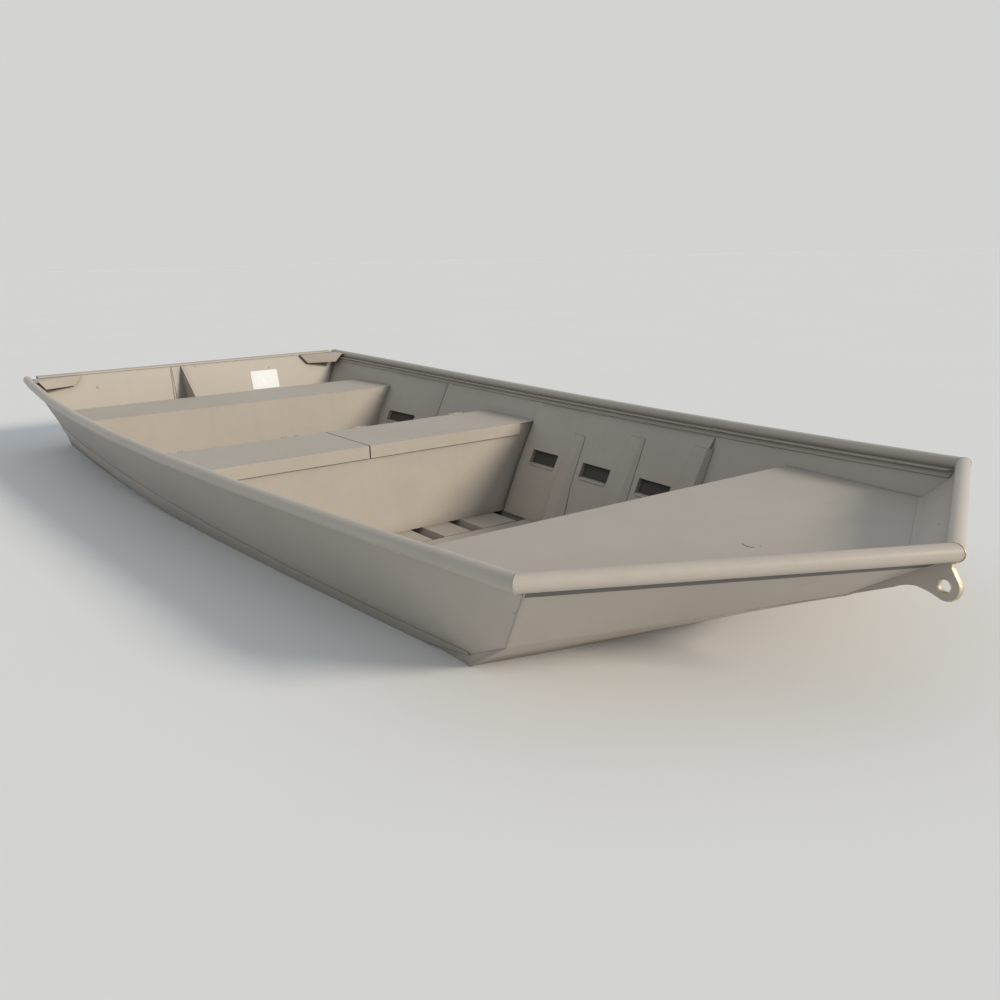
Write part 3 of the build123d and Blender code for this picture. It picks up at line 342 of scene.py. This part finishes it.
class Piece:
    """Vertices and faces of one piece, added part by part."""

    def __init__(self):
        self.verts = []
        self.faces = []

    def skin(self, rings, loop=False):
        """Faces over a row of equal rings, closed at both ends unless it is a loop."""
        start, size, count = len(self.verts), len(rings[0]), len(rings)
        for ring in rings:
            self.verts += ring
        for i in range(count if loop else count - 1):
            j = (i + 1) % count
            for k in range(size):
                after = (k + 1) % size
                self.faces.append((start + i * size + k, start + i * size + after,
                                   start + j * size + after, start + j * size + k))
        if not loop:
            self.faces.append([start + k for k in range(size)])
            self.faces.append([start + (count - 1) * size + k for k in range(size)])

    def run(self, points, radius, ripple=0.0, pitch=0.006, sides=8):
        """Round bead along points, rippled like a weld where asked, tapered at its ends."""
        places = evenly([Vector(p) for p in points], pitch / 2)
        last = len(places) - 1
        rings = []
        across = None
        for i, place in enumerate(places):
            ahead = (places[min(i + 1, last)] - places[max(i - 1, 0)]).normalized()
            if across is None:
                across = ahead.orthogonal().normalized()
            across = (across - ahead * across.dot(ahead)).normalized()
            beside = ahead.cross(across)
            size = radius * (1 + ripple * (1 if i % 2 else -1))
            size *= END_TAPER if i in (0, last) else 1
            rings.append([place + (across * math.cos(a) + beside * math.sin(a)) * size
                          for a in (2 * math.pi * k / sides for k in range(sides))])
        self.skin(rings)

    def turned(self, profile, centre, axis, segments=14, loop=False):
        """Profile of (radius, height) pairs turned about an axis; a loop makes a ring."""
        axis = Vector(axis).normalized()
        across = axis.orthogonal().normalized()
        beside = axis.cross(across)
        centre = Vector(centre)
        spokes = [across * math.cos(a) + beside * math.sin(a)
                  for a in (2 * math.pi * k / segments for k in range(segments))]
        if loop:
            self.skin([[centre + spoke * r + axis * h for r, h in profile]
                       for spoke in spokes], True)
        else:
            self.skin([[centre + spoke * r + axis * h for spoke in spokes] for r, h in profile])

    def dome(self, centre, axis, radius, height):
        """Domed head of a rivet or bolt, let into the surface a little."""
        steps = ((1.0, -0.4), (1.0, 0.15), (0.93, 0.42), (0.74, 0.74), (0.44, 0.94), (0.16, 1.0))
        self.turned([(radius * r, height * h) for r, h in steps], centre, axis)

    def add(self, name, material, slot=None, body="hull"):
        """Object from what was added so far, shaded by angle and riding on a body."""
        mesh = bpy.data.meshes.new(name)
        mesh.from_pydata([tuple(v) for v in self.verts], [], self.faces)
        work = bmesh.new()
        work.from_mesh(mesh)
        bmesh.ops.recalc_face_normals(work, faces=work.faces)
        work.to_mesh(mesh)
        work.free()
        mesh.materials.append(material)
        mesh.shade_smooth()
        piece = bpy.data.objects.new(name, mesh)
        scene.collection.objects.link(piece)
        modifier = piece.modifiers.new("shading_by_angle", "NODES")
        modifier.node_group = BY_ANGLE
        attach(piece, body)
        return piece


def evenly(points, step):
    """Points along straight stretches, about a step apart, corners kept."""
    spaced = [points[0]]
    for a, b in zip(points, points[1:]):
        count = max(1, round((b - a).length / step))
        spaced += [a.lerp(b, k / count) for k in range(1, count + 1)]
    return spaced


def welds(name, runs, radius, material=WELD, slot="hull_paint", both_sides=True):
    """Weld beads along rows of points, mirrored to starboard unless they are on the middle."""
    piece = Piece()
    for points in runs:
        piece.run(points, radius, RIPPLE)
        if both_sides:
            piece.run(mirrored(points), radius, RIPPLE)
    piece.add(name, material, slot)


def heads(name, places, radius, height, material=FASTENER, slot="hinge_metal"):
    """Domed heads at pairs of a place and the normal there."""
    piece = Piece()
    for place, normal in places:
        piece.dome(place, normal, radius, height)
    piece.add(name, material, slot)


# Places on the CAD surfaces

INSIDE = tree_of("side_panel_port", "lower_side_port", "side_liner_port", "bottom_plate")
SIDE = tree_of("side_panel_port", "lower_side_port")
BOW = tree_of("bow_panel_port", "bow_panel_starboard")
BOW_PORT = tree_of("bow_panel_port")
FOREFOOT = tree_of("forefoot_plate")
TRANSOM_INNER = tree_of("transom_core", "transom_plate")
UP = Vector((0, 0, 1))
AFT, AHEAD = Vector((-1, 0, 0)), Vector((1, 0, 0))


def seated(tree, point):
    """Nearest place on a surface to a point, and the surface's normal there."""
    place, normal, _, _ = tree.find_nearest(Vector(point))
    return place, normal


def inner_side(x, z, tree=INSIDE):
    """Place on the port side's inner surface at a station and height, or None."""
    return tree.ray_cast(Vector((x, 0, z)), Vector((0, 1, 0)))[0]


def row(start, end, parts, off=(0, 0, 0)):
    """Evenly spaced points from start to end, all moved by off."""
    return [start.lerp(end, k / parts) + Vector(off) for k in range(parts + 1)]


def seam_between(first, second, starts):
    """Line midway between two sheets where they come nearest, from a row of starting points."""
    line = []
    for point in starts:
        for _ in range(30):
            near = first.find_nearest(point)[0]
            far = second.find_nearest(near)[0]
            point = (near + far) / 2
        if not line or (point - line[-1]).length > 0.004:
            line.append(point)
    return line


# Weld beads of the bow

BOW_FOOT = Vector((1.5297, 0.628, 0.347))
CORNER_TOP = Vector((1.7204, 0.7182, 0.546))
STEM_FOOT = Vector((1.908, 0, 0.427))
CHINE_AFT, CHINE_FORE = Vector((1.0, 0.60, 0.02)), Vector((1.53, 0.63, 0.35))
CORNER = Vector((1.7217, 0.737, 0.566))                     # middle of the tubes' mitre
NOSE = Vector((2.1277, 0, 0.573))                           # middle of the tubes' joint
BOW_RUN = Vector((0.482495, -0.875859, 0.008319))           # along the port bow rail
BOW_OUT = Vector((0.87589, 0.482512, 0))                    # level, out of the port bow panel
CORNER_MITRE = Vector((0.842863, -0.537661, 0.022403))      # normal of the mitre plane
RAIL_RADIUS = 0.019

# Starting points lie outside the sheets, so that the seams are found on their outer faces
corner_starts = row(BOW_FOOT, CORNER_TOP, 12, (0.006, 0.006, 0))
stem_starts = row(BOW_FOOT, STEM_FOOT, 12, (0.006, 0.002, -0.006))
chine_starts = row(CHINE_AFT, CHINE_FORE, 16)
welds("weld_bow_corners", [seam_between(BOW_PORT, SIDE, corner_starts)], 0.0022)
welds("weld_forefoot", [seam_between(BOW_PORT, FOREFOOT, stem_starts)], 0.0026)
# This bead also fills a seam that the solids leave open by up to 2.2 mm
welds("weld_forefoot_sides", [seam_between(FOREFOOT, SIDE, chine_starts)], 0.0042)


def mitre_ring(centre, along, plane):
    """Line round a rail's tube where a plane through its centre cuts it."""
    across = along.orthogonal().normalized()
    beside = along.normalized().cross(across)
    ring = []
    for k in range(33):
        a = 2 * math.pi * k / 32
        off = (across * math.cos(a) + beside * math.sin(a)) * RAIL_RADIUS
        ring.append(centre + off - along * (off.dot(plane) / along.dot(plane)))
    return ring


welds("weld_rail_corners", [mitre_ring(CORNER, BOW_RUN, CORNER_MITRE)], 0.0014, RAIL, "rail_paint")
welds("weld_nose", [mitre_ring(NOSE, BOW_RUN, Vector((0, 1, 0)))], 0.0013, GOLDEN, "hinge_metal",
      both_sides=False)


def bow_rail_painted_shadow():
    """Dark strip on the bow panels' outer faces, just under the rails: painted shadow of the rails.
    """
    rings = []
    for k in range(41):
        middle = CORNER.lerp(NOSE, 0.02 + 0.955 * k / 40)
        faces = []
        for below in (0.0040, 0.0130, 0.0215):
            start = middle + BOW_OUT * 0.2 - UP * (RAIL_RADIUS + below)
            faces.append(BOW.ray_cast(start, -BOW_OUT)[0])
        if None not in faces:
            high, mid, low = faces
            rings.append([high + BOW_OUT * 0.0020, mid + BOW_OUT * 0.0018, low + BOW_OUT * 0.0004,
                          low - BOW_OUT * 0.0012, high - BOW_OUT * 0.0012])
    joint = Piece()
    joint.skin(rings)
    joint.skin([mirrored(ring) for ring in rings])
    joint.add("bow_rail_painted_shadow", DARK_SEAM_AND_SHADE, "rail_paint")


bow_rail_painted_shadow()

STEM_BEAD_Y = 0.0085
STEM_BEAD_LOW, STEM_BEAD_HIGH = 0.432, 0.549
stem_run = []
for k in range(13):
    z = STEM_BEAD_LOW + (STEM_BEAD_HIGH - STEM_BEAD_LOW) * k / 12
    found = BOW.ray_cast(Vector((3, STEM_BEAD_Y, z)), AFT)[0]
    if found is not None:
        stem_run.append(found)
welds("weld_stem", [stem_run], 0.0032)
welds("weld_neck", [[(2.123, -0.0080, 0.5535), (2.1288, -0.0055, 0.5535), (2.1300, 0, 0.5540),
                     (2.1288, 0.0055, 0.5535), (2.123, 0.0080, 0.5535)]],
      0.0030, GOLDEN, "hinge_metal", both_sides=False)

# Weld beads of deck, benches, knee and transom. The deck slopes up ahead of its fold.

DECK_TOP, DECK_FOLD, DECK_SLOPE = 0.471, 1.6444, 0.1022
DECK_AFT, PAST_FOLD = 1.160, 0.022
DECK_CORNER = Vector((DECK_FOLD, 0.6807, DECK_TOP))
DECK_NOSE = Vector((2.0358, 0.0, 0.511))


def deck_edge():
    """Line where the deck's top meets the port side."""
    line = []
    for k in range(27):
        x = DECK_AFT + (DECK_FOLD + PAST_FOLD - DECK_AFT) * k / 26
        found = inner_side(x, DECK_TOP + max(0, x - DECK_FOLD) * DECK_SLOPE)
        if found is not None:
            line.append(found)
    return line


def deck_fillets():
    """Sealed joint between the deck's straight fore edges and the curved bow panels."""
    rings = []
    for k in range(33):
        edge = DECK_CORNER.lerp(DECK_NOSE, 0.995 * k / 32)
        inside = edge - BOW_OUT * 0.08
        found = BOW.ray_cast(inside + UP * 0.0005, BOW_OUT)[0]
        higher = BOW.ray_cast(inside + UP * 0.0060, BOW_OUT)[0]
        if found is None or higher is None or higher.y < 0:
            continue
        on_deck = edge - BOW_OUT * 0.007
        middle = on_deck.lerp(found, 0.75)
        rings.append([
            on_deck - UP * 0.0012, on_deck + UP * 0.0005, on_deck.lerp(middle, 0.6) + UP * 0.0009,
            middle + UP * 0.0018, found.lerp(higher, 0.45) + UP * 0.0012, higher,
            higher + BOW_OUT * 0.0015, found + BOW_OUT * 0.0015 - UP * 0.0012])
    fillets = Piece()
    fillets.skin(rings)
    fillets.skin([mirrored(ring) for ring in rings])
    fillets.add("deck_fillets", INNER, "inner_paint")


welds("weld_deck", [deck_edge()], 0.0030, WELD, "inner_paint")
deck_fillets()


BENCH_FOOT = 0.09


def end_weld(x, top):
    """Line down the port side where a bench's panel ends."""
    line = []
    for k in range(25):
        found = inner_side(x, top + (BENCH_FOOT - top) * k / 24)
        if found is not None:
            line.append(found)
    return line


welds("weld_bench_ends", [
    [(-1.8113, 0.7798, 0.4525), (-1.4515, 0.8038, 0.4525), (-1.4403, 0.8041, 0.4525)],
    end_weld(-1.4385, 0.444),
    end_weld(-0.2050, 0.416),
], 0.0026, WELD, "inner_paint")

KNEE_Y, KNEE_HALF = -0.085, 0.004
KNEE_LOW, KNEE_HIGH = 0.31, 0.556
knee_runs = []
for y in (KNEE_Y - KNEE_HALF, KNEE_Y + KNEE_HALF):
    line = []
    for k in range(9):
        z = KNEE_LOW + (KNEE_HIGH - KNEE_LOW) * k / 8
        found = TRANSOM_INNER.ray_cast(Vector((0, y, z)), AFT)[0]
        if found is not None:
            line.append(found)
    knee_runs.append(line)
welds("weld_knee", knee_runs, 0.0026, WELD, "inner_paint", both_sides=False)
welds("weld_transom", [[
    (-1.9893, 0.0, 0.015), (-1.9893, 0.6187, 0.015), (-2.072, 0.6982, 0.3236),
    (-2.1332, 0.8049, 0.5517)]], 0.0026)


# Bow eye: bare metal in the hole and along the fore edge, where a shackle rubs

HOLE = Vector((2.1167, 0, 0.5027))
LUG = Vector((2.1197, 0, 0.5027))
LUG_TOP = 0.551
RIM_FROM, RIM_TO = -72, 35          # degrees about the lug's middle, from ahead
SLEEVE = ((0.0134, -0.0068), (0.0138, -0.0077), (0.0150, -0.0080), (0.0164, -0.0074),
          (0.0160, -0.0062), (0.0160, 0.0062), (0.0164, 0.0074), (0.0150, 0.0080),
          (0.0138, 0.0077), (0.0134, 0.0068))
RIM = ((-0.0040, -0.0062), (-0.0018, -0.0077), (0.0000, -0.0076), (0.0011, -0.0058),
       (0.0016, -0.0025), (0.0016, 0.0025), (0.0011, 0.0058), (0.0000, 0.0076),
       (-0.0018, 0.0077), (-0.0040, 0.0062))

sleeve = Piece()
sleeve.turned(SLEEVE, HOLE, (0, 1, 0), 40, loop=True)
sleeve.add("eye_sleeve", ALLOY, "hinge_metal")


def make_eye_rim():
    """Rounded bright edge that follows the lug's outline from below its nose up to its neck."""
    tree = tree_of("stem_plate")
    line = []
    for k in range(27):
        a = math.radians(RIM_FROM + (RIM_TO - RIM_FROM) * k / 26)
        away = Vector((math.cos(a), 0, math.sin(a)))
        line.append(tree.ray_cast(LUG + away * 0.06, -away)[0])
    bend = line[-1].z
    for k in range(1, 12):
        z = bend + (LUG_TOP - bend) * k / 11
        line.append(tree.ray_cast(Vector((3, 0, z)), AFT)[0])
    rings = []
    last = len(line) - 1
    for i, place in enumerate(line):
        ahead = (line[min(i + 1, last)] - line[max(i - 1, 0)]).normalized()
        out = Vector((ahead.z, 0, -ahead.x))
        size = min(1.0, 0.3 + 0.2 * min(i, last - i))
        rings.append([place + out * (u if u < 0 else u * size)
                      + Vector((0, v * (0.9 + 0.1 * size), 0)) for u, v in RIM])
    rim = Piece()
    rim.skin(rings)
    rim.add("eye_rim", ALLOY, "hinge_metal")


make_eye_rim()


# Rivets, bolts and screws

bow_rivets = []
for tree, point in ((BOW, (1.7713, 0.5599, 0.523)), (BOW, (1.9314, 0.2793, 0.5327)),
                    (SIDE, (1.274, 0.7385, 0.5188))):
    place, normal = seated(tree, point)
    if normal.y > 0:
        normal = -normal
    bow_rivets += [(place, normal), tuple(mirrored((place, normal)))]
heads("bow_rivets", bow_rivets, radius=0.0034, height=0.0018)

TRANSOM_NORMAL = Vector((0.966, 0, 0.259))
transom_fasteners = [(seated(TRANSOM_INNER, point)[0], TRANSOM_NORMAL) for point in (
    (-2.0903, -0.5167, 0.5113), (-2.1021, -0.115, 0.5664), (-2.1036, -0.0066, 0.5722),
    (-2.0949, 0.3976, 0.5283))]
heads("transom_fasteners", transom_fasteners, radius=0.0052, height=0.0026)

HINGE_MIDDLES = (0.1445, 0.6312, -0.6312, -0.1605)
LEAF_FACE, LEAF_MIDDLE = -0.5828, 0.404     # aft face and height of the hinges' leaves
screws = [(Vector((LEAF_FACE, middle + dy, LEAF_MIDDLE + dz)), AFT)
          for middle in HINGE_MIDDLES for dy in (-0.023, 0.023) for dz in (-0.0095, 0.0085)]
heads("hinge_screws", screws, radius=0.0036, height=0.0016)

PAD = tree_of("motor_pad")
pad_bolts = [PAD.ray_cast(Vector((-4, y, z)), AHEAD)[:2]
             for y in (-0.145, 0.145) for z in (0.335, 0.53)]
heads("pad_bolts", pad_bolts, radius=0.0105, height=0.0045)


# Blank white plate inside the transom, to port

PLATE_CORNERS = ((-2.0909, 0.2834, 0.5134), (-2.092, 0.4378, 0.5177),
                 (-2.065, 0.437, 0.4169), (-2.0663, 0.2845, 0.4215))
PLATE_HALF_WIDE, PLATE_HALF_HIGH, PLATE_ROUND = 0.0768, 0.0502, 0.006
PLATE_RIVET_ACROSS, PLATE_RIVET_UP = 0.068, 0.0415


def make_plate():
    corners = [Vector(corner) for corner in PLATE_CORNERS]
    across = (corners[1] - corners[0] + corners[2] - corners[3]).normalized()
    up = TRANSOM_NORMAL.cross(across).normalized()
    middle = seated(TRANSOM_INNER, sum(corners, Vector()) / 4)[0]

    def outline(inset, rise):
        """Ring of the plate's outline with round corners, drawn in and lifted."""
        ring = []
        bend = PLATE_ROUND - inset
        for corner in range(4):
            cx = (PLATE_HALF_WIDE - PLATE_ROUND) * (1 if corner in (0, 3) else -1)
            cy = (PLATE_HALF_HIGH - PLATE_ROUND) * (1 if corner in (0, 1) else -1)
            for k in range(5):
                a = math.pi / 2 * (corner + k / 4)
                ring.append(middle + across * (cx + bend * math.cos(a))
                            + up * (cy + bend * math.sin(a)) + TRANSOM_NORMAL * rise)
        return ring

    plate = Piece()
    plate.skin([outline(0, -0.0006), outline(0, 0.0012), outline(0.0005, 0.0017)])
    plate.add("blank_plate", PLATE_WHITE)
    rivets = [(middle + across * (sx * PLATE_RIVET_ACROSS) + up * (sy * PLATE_RIVET_UP)
               + TRANSOM_NORMAL * 0.0016, TRANSOM_NORMAL) for sx in (-1, 1) for sy in (-1, 1)]
    heads("plate_rivets", rivets, 0.0022, 0.0011, PLATE_WHITE, None)


make_plate()


# Seam in the transom's lining beside the knee, and the mark on the deck

SEAM_TOP, SEAM_SEEN_TO = (-2.1038, -0.1405, 0.5728), (-2.0687, -0.1473, 0.4305)
SEAM_GOES_ON = 1.7      # its whole length, as a multiple of what the photograph shows
seam = Piece()
top = seated(TRANSOM_INNER, SEAM_TOP)[0]
low = seated(TRANSOM_INNER, SEAM_SEEN_TO)[0]
foot = top + (low - top) * SEAM_GOES_ON
seam.run([seated(TRANSOM_INNER, point)[0] for point in row(top, foot, 8)], 0.0013, pitch=0.02)
seam.add("transom_seam", DARK_SEAM_AND_SHADE, "inner_paint")


DECK = tree_of("fore_deck")
SCRAPE = ((-1, -0.0004), (-0.7, 0.0004), (0, 0.0007), (0.7, 0.0004), (1, -0.0004))


def scrape(name, points, half, material):
    """Shallow scrape on the deck through points, widest at its middle."""
    places = [DECK.ray_cast(Vector((x, y, 1)), -UP)[0] for x, y in points]
    rings = []
    last = len(places) - 1
    for i, place in enumerate(places):
        ahead = (places[min(i + 1, last)] - places[max(i - 1, 0)]).normalized()
        side = UP.cross(ahead).normalized()
        width = half * (0.15 + 0.85 * math.sin(math.pi * (i + 0.3) / (last + 0.6)))
        rings.append([place + side * u * width + UP * h for u, h in SCRAPE])
    piece = Piece()
    piece.skin(rings)
    piece.add(name, material, "inner_paint")


scrape("deck_scrape", ((1.6165, -0.0060), (1.6290, -0.0125), (1.6420, -0.0150),
                       (1.6530, -0.0148), (1.6600, -0.0120)), 0.0026, DARK_SEAM_AND_SHADE)
scrape("deck_scrape_end", ((1.6440, 0.0270), (1.6530, 0.0180), (1.6610, 0.0085),
                           (1.6690, 0.0005)), 0.0018, ALLOY)


# Plugs in the side rails' aft ends

PLUG = ((0.0165, 0.002), (0.0165, -0.0005), (0.0152, -0.0016), (0.0100, -0.0024),
        (0.0030, -0.0026))
RAIL_END = Vector((-2.1483, 0.8224, 0.5722))
plugs = Piece()
for place in [RAIL_END] + mirrored([RAIL_END]):
    plugs.turned(PLUG, place, AHEAD, 28)
plugs.add("rail_plugs", RUBBER, "pad")


# Pockets in the side lining: near-black backs as painted shade, and a rounded sill along each lower
# edge

# Each opening's aft and fore ends, foot and top
POCKETS = ((-1.3633, -1.1233, 0.293, 0.339), (-0.1233, 0.0467, 0.274, 0.325),
           (0.2127, 0.3827, 0.274, 0.326), (0.5487, 0.7187, 0.277, 0.328))
BACK_PAST = 0.012       # how far a back goes past its opening's foot and top
SILL_RADIUS, SILL_SHORT = 0.0046, 0.004
backs, sills = Piece(), Piece()
for x0, x1, z0, z1 in POCKETS:
    grid = []
    for i in range(7):
        x = x0 + (x1 - x0) * (i + 0.12) / 6.24
        heights = (z0 - BACK_PAST + (z1 - z0 + 2 * BACK_PAST) * j / 3 for j in range(4))
        column = (inner_side(x, z, SIDE) for z in heights)
        grid.append([place for place in column if place is not None])
    proud = Vector((0, -0.0008, 0.0004))
    rings = [[p + proud for p in column] + [p - proud * 0.6 for p in reversed(column)]
             for column in grid]
    backs.skin(rings)
    backs.skin([mirrored(ring) for ring in rings])
    edge = []
    for i in range(9):
        place = inner_side(x0 + SILL_SHORT + (x1 - x0 - 2 * SILL_SHORT) * i / 8, z0 - 0.0045)
        if place is not None:
            edge.append(place)
    for points in (edge, mirrored(edge)):
        sills.run(points, SILL_RADIUS, pitch=0.012)
# The backs are dark sheets that stand in for the shade inside the pockets
backs.add("pocket_backs", POCKET_SHADE, "inner_paint")
sills.add("pocket_sills", RAIL, "inner_paint")


# Floor at the waterline, open where the hull passes through it

FLOOR_REACH = 60.0
HULL_CUT = 0.001        # how far the floor goes into the hull's plates


def hull_outline(z):
    """Half of the hull's outline at height z, as (x, y) pairs from the transom to the bow."""
    tree = tree_of("lower_side_port", "side_panel_port", "spray_rail_port", "forefoot_plate",
                   "transom_plate", "bottom_plate")
    points = []
    low, high = cad_box[0][0], cad_box[1][0]
    count = 120
    for i in range(count + 1):
        x = low + (high - low) * i / count
        found = tree.ray_cast(Vector((x, 2, z)), Vector((0, -1, 0)))[0]
        if found is not None:
            points.append((x, found.y - HULL_CUT))
    aft = tree.ray_cast(Vector((-4, 0, z)), AHEAD)[0]
    fore = tree.ray_cast(Vector((4, 0, z)), AFT)[0]
    return [(aft.x + HULL_CUT, points[0][1])] + points + [(fore.x - HULL_CUT, 0.0)]


def make_floor():
    half = hull_outline(WATERLINE)
    inner = half + [(x, -y) for x, y in reversed(half[:-1])]
    verts = [(x, y, WATERLINE) for x, y in inner]
    for x, y in inner:
        away = Vector((x, y)).normalized() * FLOOR_REACH
        verts.append((away.x, away.y, WATERLINE))
    count = len(inner)
    faces = []
    for i in range(count):
        j = (i + 1) % count
        faces.append((i, j, count + j, count + i))
    mesh = bpy.data.meshes.new("floor")
    mesh.from_pydata(verts, [], faces)
    material, s = new_material("floor")
    where = s.node("ShaderNodeTexCoord").outputs["Object"]
    tone = s.mix(s.noise(where, 1.2, 3), (0.81, 0.81, 0.81, 1), (0.84, 0.84, 0.84, 1))
    finish_material(s, {"Base Color": tone, "Roughness": 0.85, "Specular IOR Level": 0.1})
    mesh.materials.append(material)
    floor = bpy.data.objects.new("floor", mesh)
    scene.collection.objects.link(floor)


make_floor()


# Light: a soft key from ahead to port, and an even fill

KEY_TOWARDS = Vector((1.0, 0.44, 0.47))


def make_light():
    data = bpy.data.lights.new("key", "SUN")
    data.energy = 2.7
    data.angle = math.radians(13)
    data.color = (1.0, 0.91, 0.78)
    key = bpy.data.objects.new("key", data)
    key.matrix_world = KEY_TOWARDS.to_track_quat("Z", "Y").to_matrix().to_4x4()
    scene.collection.objects.link(key)

    world = bpy.data.worlds.new("studio")
    scene.world = world
    world.use_nodes = True
    s = Shader(world.node_tree)
    # The camera and reflections see the backdrop; the boat is lit by the fill
    path = s.node("ShaderNodeLightPath").outputs
    seen = s.math("MAXIMUM", path["Is Camera Ray"], path["Is Glossy Ray"])
    seen = s.math("MAXIMUM", seen, path["Is Transmission Ray"])
    fill = s.node("ShaderNodeBackground", {"Color": (0.87, 0.94, 1.0, 1), "Strength": 0.52})
    backdrop = s.node("ShaderNodeBackground", {"Color": (0.65, 0.65, 0.645, 1), "Strength": 1.0})
    both = s.node("ShaderNodeMixShader", {0: seen, 1: fill.outputs[0], 2: backdrop.outputs[0]})
    s.node("ShaderNodeOutputWorld", {"Surface": both.outputs[0]})
    scene.view_settings.view_transform = "Standard"


make_light()
